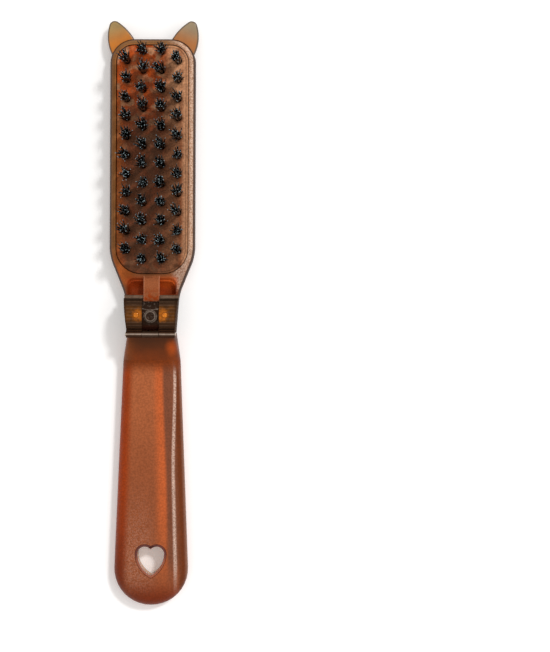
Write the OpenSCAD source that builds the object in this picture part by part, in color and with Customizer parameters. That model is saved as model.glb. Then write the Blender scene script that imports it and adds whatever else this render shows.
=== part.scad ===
// Folding hairbrush: a bristle head and a hollow handle on one raised hinge pin.
// It lies open on its back, bristles up, on the plane z = 0, with the head towards +Y.
// The head turns about the pin and comes down over the handle.

/* [Head] */
// Width of the head across its straight sides
head_w = 29; // [26:0.5:34]
// Length of the head and neck, from the parting face to the top edge
head_l = 99.3; // [90:0.5:115]
// Thickness of the head from its back to its rim
head_t = 6.4; // [5.8:0.1:7.2]
// Radius of the two top corners, seen from the front
head_corner_r = 8.2; // [6.5:0.1:10]
// Radius of the shoulders where the head narrows to the neck
shoulder_r = 14; // [10:0.5:18]
// Length over which the head narrows
shoulder_l = 15.7; // [12:0.5:20]
// How far the rounded back edge reaches in
back_roll = 2.7; // [1.5:0.1:3.2]
// How far the rounded rim edge reaches in
rim_roll = 1.7; // [0.8:0.1:2]
// Height of the widest line above the back face
widest_z = 3.2; // [2.9:0.1:3.6]

/* [Neck] */
// Length of the neck, from the parting face to the shoulder
neck_l = 13; // [12.8:0.1:14]
// Width of the neck at the shoulder
neck_w = 18.5; // [18.2:0.1:20]
// Width of the neck and of the handle at the parting face
parting_w = 16.6; // [16.4:0.1:17.6]
// Corner radius of the neck and the handle at the parting face
parting_corner_r = 1.4; // [0.8:0.1:1.8]
// Width of the rib between the two neck pockets
rib_w = 5.4; // [4.4:0.1:6]
// Height of the rib above the neck
rib_rise = 0.5; // [0.2:0.1:0.9]
// Distance of the two neck pockets from the cheeks' feet
pocket_gap = 0.3; // [0.2:0.05:0.6]
// Length of the two neck pockets
pocket_l = 5.4; // [4:0.1:6]
// Depth of the two neck pockets
pocket_depth = 2.8; // [1.5:0.1:3.2]
// Width of one neck pocket
pocket_w = 5.6; // [4:0.1:5.8]
// How far a neck pocket's far wall leans out
pocket_slope = 3.4; // [1:0.1:3.8]
// How far a neck pocket's outer wall leans out
pocket_flare = 1.6; // [0.5:0.1:2.4]

/* [Bristle plate] */
// Width of the rim between the head's side and the bristle plate
rim_w = 2.35; // [2.2:0.05:2.8]
// Thickness of the bristle plate
plate_t = 3.7; // [3.2:0.1:4]
// How far the plate's face lies below the rim
plate_drop = 0.3; // [0.1:0.05:0.6]
// Radius of the plate's two lower corners
plate_low_r = 8.5; // [6.5:0.1:11]
// Distance from the shoulder's start to the plate's lower edge
plate_gap = 6.8; // [5.8:0.1:9]
// Gap all round between the plate and the head's recess
plate_clear = 0.12; // [0.05:0.01:0.2]
// Width of the step round the plate's face
plate_step = 0.45; // [0.2:0.05:0.7]

/* [Bristles] */
// Rows of tufts in the two middle columns
inner_rows = 12; // [8:1:12]
// Distance of the outer columns from the plate's side
side_margin = 3.5; // [3.2:0.05:4.2]
// Place of the inner columns, as a share of the outer columns' distance from the middle
inner_share = 0.358; // [0.33:0.002:0.4]
// Distance from the plate's top edge to the first row
top_margin = 2.1; // [1.8:0.1:3]
// Distance from the plate's lower edge to the last row
low_margin = 4.8; // [4.2:0.1:6]
// Height of the bristles above the plate
bristle_h = 9.1; // [7:0.1:12]
// Radius of a tuft where it leaves the plate
tuft_r = 1.2; // [0.9:0.05:1.35]
// Radius of a tuft across its splayed tips
tip_r = 1.85; // [1.4:0.05:2.2]
// Depth of a tuft's socket
socket_depth = 3; // [2:0.1:3]
// Radial clearance of a tuft in its socket
socket_clear = 0.05; // [0.02:0.01:0.1]
// Height of the wire that anchors a tuft
anchor_h = 1; // [0.6:0.1:1.4]
// Thickness of the wire that anchors a tuft
anchor_t = 0.35; // [0.25:0.05:0.5]
// Width of the wire that anchors a tuft, as a share of the tuft's
anchor_share = 0.9; // [0.7:0.05:0.95]

/* [Ears] */
// How far an ear's tip stands above the head's top edge
ear_h = 6.1; // [4:0.1:9]
// How far an ear's outer edge stands out past the head's side
ear_out = 0.9; // [0.5:0.1:1.6]
// Distance of the ear's tip from the head's side, inwards
ear_tip_in = 1.5; // [0.8:0.1:2.2]
// Radius of the ear's rounded tip
ear_tip_r = 1.9; // [1.2:0.1:2.4]
// Distance from the head's side to where the ear's inner edge meets the top edge
ear_base_in = 8.1; // [7.2:0.1:9.2]
// Radius of the ear's curved inner edge
ear_inner_r = 17.5; // [13:0.5:22]
// Radius of the ear's curved outer edge
ear_outer_r = 13.7; // [13:0.1:16]
// Thickness of an ear
ear_t = 2; // [1.2:0.1:2.4]
// Clearance of an ear in its slot
ear_clear = 0.05; // [0.02:0.01:0.1]
// Height of an ear above the floor of the plate's recess
ear_lift = 0.1; // [0.08:0.01:0.3]

/* [Hinge] */
// Radius of the hinge pin
pin_r = 0.65; // [0.5:0.05:0.75]
// Outer radius of the hinge knuckles
knuckle_r = 1.15; // [1.1:0.05:1.4]
// Width of the handle's middle knuckle
mid_knuckle_w = 5.4; // [4.6:0.1:5.6]
// Side gap between the knuckles
knuckle_gap = 0.2; // [0.1:0.05:0.4]
// Radial running clearance of the pin in the head's knuckles
pin_clear = 0.05; // [0.02:0.01:0.09]
// How far each end of the pin stands out of the knuckles
pin_proud = 0.3; // [0.1:0.05:0.5]
// Gap between bristle tips and handle when folded
fold_gap = 0.4; // [0.3:0.1:1.5]
// Distance of the parting face from the pin's axis, towards the head
parting_y = 0.5; // [0.4:0.05:0.6]
// Gap between the neck and the handle at the parting face
parting_gap = 0.1; // [0.05:0.05:0.2]
// Length of a hinge cheek along the neck
cheek_l = 11.3; // [11.2:0.1:11.6]
// Distance of a hinge cheek from the parting face
cheek_back = 0.2; // [0.1:0.05:0.3]
// How far a hinge cheek stands in from the neck's side
cheek_inset = 0.15; // [0.1:0.05:0.3]
// Size of the cut corner at a cheek's pin end
cheek_cut = 0.6; // [0.3:0.1:0.8]
// Length of the cut corner at a cheek's pin end
cheek_cut_l = 1.2; // [0.8:0.1:1.4]
// Height of the cheek's arched top above the pin's axis
cheek_rise = 1.9; // [1.5:0.1:2.2]
// Radius of the cheek's arched top
cheek_arch_r = 7.5; // [7:0.1:10]
// Length of the step at the cheek's foot
foot_l = 1.1; // [0.6:0.1:1.1]
// Height of the step at the cheek's foot
foot_h = 1; // [0.5:0.1:1.5]
// Radius of the rivet through each cheek
rivet_r = 0.95; // [0.7:0.05:1]
// Distance of each rivet from the middle
rivet_x = 4.8; // [4.5:0.1:5.2]
// Clearance of a rivet in its holes
rivet_clear = 0.03; // [0.02:0.01:0.06]
// How far a rivet stops short of the neck's back
rivet_skin = 1.3; // [0.8:0.1:1.6]

/* [Lock button] */
// Distance of the button from the pin's axis
button_y = 6; // [5.7:0.1:6.2]
// Radius of the button
button_r = 1.8; // [1.4:0.05:1.9]
// How far the button stands out of its housing
button_proud = 0.9; // [0.8:0.1:1.2]
// How far the button can be pressed
button_travel = 0.8; // [0.4:0.1:0.8]
// Radial running clearance of the button and its plunger
button_clear = 0.06; // [0.03:0.01:0.09]
// Height of the collar that keeps the button in
collar_h = 0.7; // [0.5:0.1:0.9]
// Radius of the collar that keeps the button in
collar_r = 2.15; // [2.05:0.05:2.2]
// Play between the collar and the housing's roof
collar_play = 0.1; // [0.05:0.05:0.2]
// How far the housing stops short of the cheeks
housing_short = 1; // [0.6:0.1:1.4]
// Side clearance of the housing between the cheeks
housing_clear = 0.05; // [0.02:0.01:0.1]
// Thickness of the housing's roof
roof_t = 1.5; // [1.2:0.1:1.6]
// Thickness of the housing's floor
floor_t = 0.7; // [0.5:0.1:0.9]
// Radius of the release plunger
plunger_r = 0.8; // [0.6:0.05:0.85]
// Gap between the pressed plunger and the latch tongue
plunger_gap = 0.2; // [0.1:0.05:0.4]
// Depth of the plunger's seat in the button
plunger_seat = 0.5; // [0.3:0.1:0.8]
// Radial clearance of the plunger in its seat
seat_clear = 0.02; // [0.01:0.01:0.04]
// Radial clearance of the plunger in the neck
neck_bore_clear = 0.18; // [0.1:0.02:0.3]
// Mean radius of the button's spring
spring_r = 1.4; // [1.25:0.05:1.6]
// Radius of the spring's wire
spring_wire_r = 0.16; // [0.1:0.01:0.2]
// Turns of the spring
spring_turns = 4.5; // [3:0.5:5.5]

/* [Handle] */
// Length of the handle from the parting face to its round end
handle_l = 92.1; // [85:0.5:110]
// Width of the handle at its round end
handle_w = 25; // [22:0.5:28]
// Width of the handle at the foot of the wedge
wedge_w = 19.4; // [18.6:0.1:20]
// Thickness of the handle
handle_t = 6.4; // [5.8:0.1:7.2]
// Wall of the two handle shells
handle_wall = 1.6; // [1.4:0.05:1.7]
// How far the rounded front edge reaches in
front_roll = 4.4; // [2.5:0.1:4.8]
// Length of the wedge that carries the hinge
wedge_l = 9.2; // [8:0.1:11]
// Gap between the wedge's ridge and the turning knuckles
ridge_gap = 0.3; // [0.2:0.05:0.5]
// Size of the small step along the wedge's ridge
ridge_step = 0.4; // [0.2:0.05:0.5]
// Room behind the wedge's plug in the back shell
plug_room = 0.5; // [0.3:0.1:0.8]
// Side clearance of the wedge's plug in the back shell
plug_clear = 0.05; // [0.02:0.01:0.1]
// Width of the latch tongue
tongue_w = 5.3; // [4.4:0.1:5.4]
// Length of the latch tongue past the parting face
tongue_reach = 6; // [5.9:0.1:6.2]
// Length of the latch tongue inside the handle
tongue_root = 4.5; // [3:0.1:6]
// Thickness of the tongue's root
tongue_root_t = 1.2; // [0.9:0.1:1.3]
// How far the tongue's thick end stops short of the back face
tongue_skin = 0.5; // [0.3:0.1:0.8]
// Length of the tongue's thick end
tongue_pad_l = 3.9; // [2.5:0.1:4.2]
// Gap round the tongue in the neck
tongue_gap = 0.3; // [0.2:0.05:0.35]

/* [Hang hole] */
// Width of the heart-shaped hang hole
heart_w = 9.1; // [8:0.1:12]
// Height of the heart-shaped hang hole
heart_h = 9.8; // [8.5:0.1:12.5]
// Distance of the heart's widest line from the handle's end
heart_y = 17.5; // [16:0.1:19]
// Wall of the grommet round the hang hole
grommet_wall = 0.8; // [0.6:0.05:1.2]
// How far the grommet lies below the handle's faces
grommet_sink = 0.15; // [0:0.05:0.3]
// Clearance of the grommet in the shells
grommet_clear = 0.05; // [0.02:0.01:0.1]

/* [Hidden] */

$fn = 64;
// Sides of a circle inside a hull
hull_fn = 32;
// Thickness of a slice inside a hull
slice = 0.01;
// Slices from the widest line to a flat face
roll_steps = 5;
// How far a cut runs past the faces it opens
over = 1;
// How far joined shapes reach into each other
sink = 0.1;
// Radius of the heart's lobes, as a share of its width
lobe_share = 0.28;
// Radius of the heart's bowed sides, as a share of its width
bow_share = 0.95;

// Heights
plate_top = head_t - plate_drop;
plate_z = plate_top - plate_t;
tip_z = plate_top + bristle_h;
pin_z = (tip_z + handle_t + fold_gap) / 2;
cheek_top = pin_z + cheek_rise;
housing_top = cheek_top - button_proud;
arch_z = cheek_top - cheek_arch_r;
ridge_z = pin_z - knuckle_r - ridge_gap;
tongue_top = handle_wall + tongue_root_t;

// Places along the brush, counted from the pin's axis
neck_y = parting_y + parting_gap / 2;
handle_y = parting_y - parting_gap / 2;
head_top_y = neck_y + head_l;
shoulder_low_y = neck_y + neck_l;
shoulder_top_y = shoulder_low_y + shoulder_l;
plate_low_y = shoulder_low_y + plate_gap;
plate_high_y = head_top_y - rim_w;
handle_end_y = handle_y - handle_l;
end_round_y = handle_end_y + handle_w / 2;
wedge_y = handle_y - wedge_l;
cheek_y = neck_y + cheek_back;
cheek_mid_y = cheek_y + cheek_l / 2;
cheek_end_y = cheek_y + cheek_l;
housing_y = knuckle_r + ridge_gap;
housing_end_y = cheek_end_y - housing_short;
pocket_y = cheek_end_y + foot_l + pocket_gap;
tongue_tip_y = handle_y + tongue_reach;

// Half widths
mid_half = mid_knuckle_w / 2;
side_in = mid_half + knuckle_gap;
side_out = parting_w / 2 - cheek_inset;
tongue_half = tongue_w / 2;

// The columns and rows of tufts
outer_x = head_w / 2 - rim_w - side_margin;
inner_x = inner_share * outer_x;
pitch = (plate_high_y - top_margin - plate_low_y - low_margin) / (inner_rows - 1);
inner_first_y = plate_low_y + low_margin;
outer_first_y = inner_first_y + pitch / 2;
outer_rows = inner_rows - 1;
socket_z = plate_top - socket_depth;

// Lock button
collar_top_z = housing_top - roof_t - collar_play;
collar_low_z = collar_top_z - collar_h;
well_low_z = head_t + floor_t;
button_top_z = housing_top + button_proud;
plunger_low_z = tongue_top + plunger_gap + button_travel;

// Slides the hinge's frame so that the whole brush is centred along Y
frame_y = -(head_top_y + ear_h + handle_end_y) / 2;

// Points on a circle of radius r about c, from angle a to angle b
function arc(c, r, a, b, n = 24) =
    [for (k = [0:n]) c + r * [cos(a + (b - a) * k / n), sin(a + (b - a) * k / n)]];

function angle_of(v) = atan2(v[1], v[0]);

// Where a circle of radius rp about p meets one of radius rq about q, to the right of p-q
function meet(p, rp, q, rq) =
    let (d = norm(q - p), u = (q - p) / d, a = (rp * rp - rq * rq + d * d) / (2 * d))
    p + a * u + sqrt(rp * rp - a * a) * [u[1], -u[0]];

// The tip's circle, and the two long arcs that run into it
ear_tip = [head_w / 2 - ear_tip_in, head_top_y + ear_h - ear_tip_r];
ear_base = [head_w / 2 - ear_base_in, head_top_y];
ear_in_c = meet(ear_base, ear_inner_r, ear_tip, ear_inner_r - ear_tip_r);
ear_out_x = head_w / 2 + ear_out - ear_outer_r;
ear_out_drop = sqrt(pow(ear_outer_r - ear_tip_r, 2) - pow(ear_tip[0] - ear_out_x, 2));
ear_out_c = [ear_out_x, ear_tip[1] - ear_out_drop];
ear_low_a = -40;
ear_z = plate_z + ear_lift;

// The heart: two lobes, and two bowed sides that run into them and meet in a point.
// Growing it keeps the arcs' centres
lobe_r = lobe_share * heart_w;
lobe_x = heart_w / 2 - lobe_r;
bow_r = bow_share * heart_w;
heart_c = [0, handle_end_y + heart_y];
heart_tip = [0, lobe_r - heart_h];
bow_c = meet([lobe_x, 0], bow_r - lobe_r, heart_tip, bow_r);
bow_a = angle_of([lobe_x, 0] - bow_c);
function heart_lobe(grow) =
    arc([lobe_x, 0], lobe_r + grow, 180 - acos(lobe_x / (lobe_r + grow)), bow_a);
function heart_bow(grow) =
    arc(bow_c, bow_r + grow, bow_a, -acos(-bow_c[0] / (bow_r + grow)), 12);
function heart_points(grow) =
    let (bow = heart_bow(grow),
         half = concat(heart_lobe(grow), [for (k = [1:len(bow) - 1]) bow[k]]),
         n = len(half))
    concat(half, [for (k = [n - 2:-1:1]) [-half[k][0], half[k][1]]]);

// Outlines. $inset draws the rounded ones in from the widest line

module head_outline() {
    half = head_w / 2;
    for (s = [-1, 1]) {
        translate([s * (half - head_corner_r), head_top_y - head_corner_r])
            circle(head_corner_r - $inset, $fn = hull_fn);
        translate([s * (half - shoulder_r), shoulder_top_y])
            circle(shoulder_r - $inset, $fn = 2 * hull_fn);
    }
    translate([-neck_w / 2 + $inset, shoulder_low_y])
        square([neck_w - 2 * $inset, slice]);
}

module neck_outline() {
    translate([-neck_w / 2 + $inset, shoulder_low_y])
        square([neck_w - 2 * $inset, slice]);
    end_corners(neck_y + parting_corner_r);
}

// The two corners at a parting face, neck or handle
module end_corners(y) {
    for (s = [-1, 1])
        translate([s * (parting_w / 2 - parting_corner_r - $inset), y])
            circle(parting_corner_r, $fn = hull_fn);
}

module handle_outline(top_y = handle_y) {
    translate([0, end_round_y])
        circle(handle_w / 2 - $inset, $fn = 2 * hull_fn);
    translate([-wedge_w / 2 + $inset, wedge_y - slice])
        square([wedge_w - 2 * $inset, slice]);
    if (top_y > wedge_y)
        end_corners(top_y - parting_corner_r);
}

// The handle's outline between the wedge's foot and the parting face
module wedge_outline() {
    translate([-wedge_w / 2 + $inset, wedge_y])
        square([wedge_w - 2 * $inset, slice]);
    end_corners(handle_y - parting_corner_r);
}

// The slices of one convex solid: its child outline at the widest line z_edge, drawn in by
// up to roll along a quarter round that ends in the flat face z_face. A solid that cuts
// another one open starts a little past z_edge
module rolled(z_edge, z_face, roll, draw = 0, past = 0) {
    rise = z_face - z_edge;
    for (k = [0:roll_steps]) {
        $inset = draw + roll * (1 - cos(90 * k / roll_steps));
        z = z_edge + rise * sin(90 * k / roll_steps) - (k == 0 ? sign(rise) * past : 0);
        translate([0, 0, (rise > 0) == (k == 0) ? z : z - slice])
            linear_extrude(slice)
                children();
    }
}

// The bristle plate's outline, grown by g
module plate_outline(g = 0) {
    half = head_w / 2 - rim_w;
    high_r = head_corner_r - rim_w;
    points = concat(
        arc([half - high_r, plate_high_y - high_r], high_r + g, 0, 90),
        arc([-half + high_r, plate_high_y - high_r], high_r + g, 90, 180),
        arc([-half + plate_low_r, plate_low_y + plate_low_r], plate_low_r + g, 180, 270),
        arc([half - plate_low_r, plate_low_y + plate_low_r], plate_low_r + g, 270, 360));
    polygon(points);
}

module ear_outline() {
    tip_in_a = angle_of(ear_tip - ear_in_c);
    tip_out_a = angle_of(ear_tip - ear_out_c);
    polygon(concat(
        arc(ear_in_c, ear_inner_r, angle_of(ear_base - ear_in_c), tip_in_a),
        arc(ear_tip, ear_tip_r, tip_in_a, tip_out_a),
        arc(ear_out_c, ear_outer_r, tip_out_a, ear_low_a),
        [[head_w / 2 - head_corner_r, head_top_y - head_corner_r]]));
}

// A cylinder along X from x0 to x1 on the pin's axis
module across(r, x0, x1) {
    translate([x0, 0, pin_z])
        rotate([0, 90, 0])
            cylinder(r = r, h = x1 - x0);
}

// The long cylinder that rounds the top of the hinge block, of radius r, from x0 to x1
module arch(r, x0, x1) {
    translate([x0, cheek_mid_y, arch_z])
        rotate([0, 90, 0])
            cylinder(r = r, h = x1 - x0, $fn = 4 * hull_fn);
}

// Places its children at every tuft of one column
module column(x, rows, first_y) {
    for (k = [0:rows - 1])
        translate([x, first_y + k * pitch, 0])
            children();
}

module all_columns() {
    for (s = [-1, 1]) {
        column(s * inner_x, inner_rows, inner_first_y)
            children();
        column(s * outer_x, outer_rows, outer_first_y)
            children();
    }
}

module placed() {
    translate([0, frame_y, 0])
        children();
}

// Sub-parts

module head_shell() {
    color([0.62, 0.33, 0.14])
        placed()
            difference() {
                union() {
                    hull() {
                        rolled(widest_z, 0, back_roll) head_outline();
                        rolled(widest_z, head_t, rim_roll) head_outline();
                    }
                    hull() {
                        rolled(widest_z, 0, back_roll) neck_outline();
                        rolled(widest_z, head_t, rim_roll) neck_outline();
                    }
                    translate([-rib_w / 2, housing_end_y, plate_z])
                        cube([rib_w, pocket_y + pocket_l - housing_end_y,
                              head_t + rib_rise - plate_z]);
                }
                translate([0, 0, plate_z])
                    linear_extrude(head_t)
                        plate_outline(plate_clear);
                ear_slots();
                neck_pockets();
                tongue_slot();
                cheek_seats();
            }
}

module ear_slots() {
    for (s = [0, 1])
        mirror([s, 0, 0])
            translate([0, 0, ear_z - ear_clear])
                linear_extrude(ear_t + 2 * ear_clear)
                    ear_outline();
}

module neck_pockets() {
    for (s = [0, 1])
        mirror([s, 0, 0])
            hull() {
                translate([rib_w / 2, pocket_y, head_t - pocket_depth])
                    cube([pocket_w - pocket_flare, pocket_l - pocket_slope, slice]);
                translate([rib_w / 2, pocket_y, head_t])
                    cube([pocket_w, pocket_l, over]);
            }
}

// The slot that the latch tongue enters, open at the back and at the parting face,
// and the plunger's way down to it
module tongue_slot() {
    half = tongue_half + tongue_gap;
    slot_y = neck_y - over;
    translate([-half, slot_y, -over])
        cube([2 * half, tongue_tip_y + tongue_gap - slot_y, over + tongue_top + button_travel]);
    translate([0, button_y, 0])
        cylinder(r = plunger_r + neck_bore_clear, h = head_t + over);
}

module cheek_seats() {
    rivet_places()
        translate([0, 0, rivet_skin])
            cylinder(r = rivet_r + rivet_clear, h = head_t);
}

module rivet_places() {
    for (s = [-1, 1])
        translate([s * rivet_x, cheek_mid_y, 0])
            children();
}

module bristle_plate() {
    color([0.5, 0.27, 0.17])
        placed()
            difference() {
                union() {
                    translate([0, 0, plate_z])
                        linear_extrude(plate_t - plate_step)
                            plate_outline();
                    translate([0, 0, plate_z])
                        linear_extrude(plate_t)
                            plate_outline(-plate_step);
                }
                all_columns()
                    translate([0, 0, socket_z])
                        cylinder(r = tuft_r + socket_clear, h = socket_depth + over, $fn = 24);
            }
}

module ear_right() {
    color([0.72, 0.52, 0.3])
        placed()
            translate([0, 0, ear_z])
                linear_extrude(ear_t)
                    difference() {
                        ear_outline();
                        plate_outline(2 * plate_clear);
                    }
}

module ear_left() {
    mirror([1, 0, 0])
        ear_right();
}

// One tuft: a round foot on its anchor wire, and a splayed brush above the plate
module tuft() {
    foot_z = socket_z + anchor_h;
    translate([0, 0, foot_z])
        cylinder(r = tuft_r, h = plate_top - foot_z, $fn = 24);
    translate([0, 0, plate_top])
        cylinder(r1 = tuft_r, r2 = tip_r, h = bristle_h, $fn = 24);
}

module tuft_column(x, rows, first_y) {
    color([0.1, 0.11, 0.11])
        placed()
            column(x, rows, first_y)
                tuft();
}

module tufts_outer_left() {
    tuft_column(-outer_x, outer_rows, outer_first_y);
}

module tufts_inner_left() {
    tuft_column(-inner_x, inner_rows, inner_first_y);
}

module tufts_inner_right() {
    tuft_column(inner_x, inner_rows, inner_first_y);
}

module tufts_outer_right() {
    tuft_column(outer_x, outer_rows, outer_first_y);
}

module tuft_anchors() {
    color([0.72, 0.72, 0.74])
        placed()
            all_columns()
                translate([-anchor_share * tuft_r, -anchor_t / 2, socket_z])
                    cube([2 * anchor_share * tuft_r, anchor_t, anchor_h]);
}

// The right-hand cheek: an arched block on the neck, and its knuckle on the pin
module cheek() {
    difference() {
        union() {
            intersection() {
                arch(cheek_arch_r, 0, neck_w);
                translate([0, 0, head_t])
                    linear_extrude(cheek_top)
                        cheek_plan(cheek_end_y);
            }
            translate([0, 0, head_t])
                linear_extrude(foot_h)
                    cheek_plan(cheek_end_y + foot_l);
            across(knuckle_r, side_in, side_out);
            translate([side_in, 0, pin_z - knuckle_r])
                cube([side_out - side_in, cheek_y + cheek_cut_l, knuckle_r]);
        }
        across(pin_r + pin_clear, side_in - over, side_out + over);
        rivet_places()
            cylinder(r = rivet_r + rivet_clear, h = cheek_top + over);
    }
}

// The cheek seen from the front, as long as end_y asks
module cheek_plan(end_y) {
    polygon([
        [side_in, cheek_y],
        [side_out - cheek_cut, cheek_y],
        [side_out, cheek_y + cheek_cut_l],
        [neck_w / 2 - cheek_inset, cheek_end_y],
        [neck_w / 2 - cheek_inset, end_y],
        [side_in, end_y]]);
}

module hinge_cheek_right() {
    color([0.3, 0.22, 0.17])
        placed()
            cheek();
}

module hinge_cheek_left() {
    mirror([1, 0, 0])
        hinge_cheek_right();
}

module cheek_rivets() {
    color([0.85, 0.55, 0.2])
        placed()
            rivet_places()
                translate([0, 0, rivet_skin])
                    cylinder(r = rivet_r, h = cheek_top - rivet_skin);
}

// The dark housing between the cheeks, with the button's well
module lock_housing() {
    half = side_in - housing_clear;
    color([0.2, 0.17, 0.16])
        placed()
            difference() {
                intersection() {
                    translate([-half, housing_y, head_t])
                        cube([2 * half, housing_end_y - housing_y, housing_top - head_t]);
                    arch(cheek_arch_r - button_proud, -half, half);
                }
                translate([0, button_y, 0])
                    cylinder(r = plunger_r + button_clear, h = housing_top);
                translate([0, button_y, well_low_z])
                    cylinder(r = collar_r + button_clear, h = housing_top - roof_t - well_low_z);
                translate([0, button_y, collar_low_z])
                    cylinder(r = button_r + button_clear, h = housing_top);
            }
}

module lock_button() {
    color([0.16, 0.14, 0.14])
        placed()
            translate([0, button_y, 0])
                difference() {
                    union() {
                        translate([0, 0, collar_low_z])
                            cylinder(r = collar_r, h = collar_h);
                        translate([0, 0, collar_low_z])
                            cylinder(r = button_r, h = button_top_z - collar_low_z);
                    }
                    translate([0, 0, collar_low_z - over])
                        cylinder(r = plunger_r + seat_clear, h = plunger_seat + over);
                }
}

module release_plunger() {
    color([0.7, 0.7, 0.72])
        placed()
            translate([0, button_y, plunger_low_z])
                cylinder(r = plunger_r, h = collar_low_z + plunger_seat - plunger_low_z);
}

// A coil that stands on the housing's floor and bears on the button's collar
module button_spring() {
    rise = collar_low_z - well_low_z - 2 * spring_wire_r;
    steps = 14;
    rings = floor(spring_turns * steps);
    sides = 8;
    points = [for (k = [0:rings]) for (j = [0:sides - 1])
        let (turn = 360 * k / steps,
             out = spring_r + spring_wire_r * cos(360 * j / sides),
             up = spring_wire_r * sin(360 * j / sides))
        [out * cos(turn), out * sin(turn), spring_wire_r + rise * k / rings + up]];
    walls = [for (k = [0:rings - 1]) for (j = [0:sides - 1])
        let (a = k * sides + j, b = k * sides + (j + 1) % sides)
        [a, a + sides, b + sides, b]];
    start = [for (j = [0:sides - 1]) j];
    finish = [for (j = [sides - 1:-1:0]) rings * sides + j];
    color([0.75, 0.75, 0.77])
        placed()
            translate([0, button_y, well_low_z])
                polyhedron(points, concat([start], walls, [finish]));
}

module hinge_pin() {
    color([0.78, 0.76, 0.72])
        placed()
            across(pin_r, -side_out - pin_proud, side_out + pin_proud);
}

// The solid top of the handle: a plug between the shells, the wedge and the middle knuckle
module hinge_insert() {
    ridge_half = side_out - ridge_step;
    plug_half = parting_w / 2 - handle_wall - plug_clear - back_roll / 2;
    color([0.4, 0.2, 0.09])
        placed()
            difference() {
                union() {
                    hull() {
                        rolled(widest_z, handle_t, front_roll) wedge_outline();
                        for (k = [0, 1])
                            translate([k * ridge_step - ridge_half, k * ridge_step - knuckle_r,
                                       ridge_z - (2 - k) * ridge_step])
                                cube([2 * (ridge_half - k * ridge_step),
                                      knuckle_r + handle_y - k * ridge_step, ridge_step]);
                    }
                    translate([-plug_half, wedge_y, handle_wall])
                        cube([2 * plug_half, wedge_l, widest_z - handle_wall + sink]);
                    across(knuckle_r, -mid_half, mid_half);
                    translate([-mid_half, -knuckle_r, ridge_z - over])
                        cube([mid_knuckle_w, knuckle_r + handle_y, pin_z - ridge_z + over]);
                }
                across(pin_r, -mid_half - over, mid_half + over);
                translate([-tongue_half - plug_clear, handle_y - tongue_root - plug_clear, 0])
                    cube([tongue_w + 2 * plug_clear, tongue_root + over + plug_clear,
                          tongue_top + plug_clear]);
            }
}

// The tongue that enters the neck's slot and that the plunger bears on
module latch_tongue() {
    color([0.75, 0.5, 0.12])
        placed() {
            translate([-tongue_half, handle_y - tongue_root, handle_wall])
                cube([tongue_w, tongue_root + tongue_reach, tongue_root_t]);
            translate([-tongue_half, tongue_tip_y - tongue_pad_l, tongue_skin])
                cube([tongue_w, tongue_pad_l, tongue_top - tongue_skin]);
        }
}

module handle_back() {
    color([0.66, 0.32, 0.13])
        placed()
            difference() {
                hull()
                    rolled(widest_z, 0, back_roll) handle_outline();
                hull()
                    rolled(widest_z, handle_wall, back_roll, handle_wall, over)
                        handle_outline(wedge_y);
                plug_seat();
                heart_cut();
            }
}

// The open top end of the back shell, where the hinge insert's plug sits
module plug_seat() {
    half = parting_w / 2 - handle_wall - back_roll / 2;
    translate([-half, wedge_y - plug_room, handle_wall])
        cube([2 * half, wedge_l + over + plug_room, head_t]);
}

module handle_front() {
    color([0.7, 0.36, 0.16])
        placed()
            difference() {
                hull()
                    rolled(widest_z, handle_t, front_roll) handle_outline(wedge_y);
                hull()
                    rolled(widest_z, handle_t - handle_wall, front_roll / 2, handle_wall, over)
                        handle_cavity();
                heart_cut();
            }
}

// The front shell's hollow stops short of the wedge
module handle_cavity() {
    translate([0, end_round_y])
        circle(handle_w / 2 - $inset, $fn = 2 * hull_fn);
    translate([-wedge_w / 2 + $inset, wedge_y - handle_wall])
        square([wedge_w - 2 * $inset, slice]);
}

module heart_cut() {
    translate([heart_c[0], heart_c[1], -over])
        linear_extrude(handle_t + 2 * over)
            polygon(heart_points(grommet_wall + grommet_clear));
}

module heart_grommet() {
    color([0.55, 0.33, 0.2])
        placed()
            translate([heart_c[0], heart_c[1], grommet_sink])
                linear_extrude(handle_t - 2 * grommet_sink)
                    difference() {
                        polygon(heart_points(grommet_wall));
                        polygon(heart_points(0));
                    }
}

head_shell();
bristle_plate();
ear_left();
ear_right();
tufts_outer_left();
tufts_inner_left();
tufts_inner_right();
tufts_outer_right();
tuft_anchors();
hinge_cheek_left();
hinge_cheek_right();
cheek_rivets();
lock_housing();
lock_button();
release_plunger();
button_spring();
hinge_pin();
hinge_insert();
latch_tongue();
handle_back();
handle_front();
heart_grommet();
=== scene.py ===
"""Folding hairbrush: the bristle head, the raised hinge with its lock button and the hollow
handle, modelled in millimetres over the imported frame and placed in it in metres."""

import math
import random

import bmesh
import bpy
from bpy.props import FloatProperty, FloatVectorProperty, IntProperty, PointerProperty
from mathutils import Matrix, Vector


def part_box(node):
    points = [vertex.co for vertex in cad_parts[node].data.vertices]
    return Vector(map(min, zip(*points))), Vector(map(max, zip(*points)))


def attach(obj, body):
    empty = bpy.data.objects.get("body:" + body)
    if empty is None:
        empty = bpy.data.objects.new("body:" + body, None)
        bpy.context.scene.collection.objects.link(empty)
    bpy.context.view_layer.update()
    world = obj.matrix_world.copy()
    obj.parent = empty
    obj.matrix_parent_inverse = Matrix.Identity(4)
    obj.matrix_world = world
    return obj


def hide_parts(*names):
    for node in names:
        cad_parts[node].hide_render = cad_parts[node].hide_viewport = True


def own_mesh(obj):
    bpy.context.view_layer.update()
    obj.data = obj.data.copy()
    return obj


bl_info = {
    "name": "Folding hairbrush",
    "version": (1, 0, 0),
    "blender": (4, 5, 0),
    "location": "View3D > Sidebar > Hairbrush",
    "description": "Builds the folding hairbrush piece by piece over its frame",
    "category": "Add Mesh",
}

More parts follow.
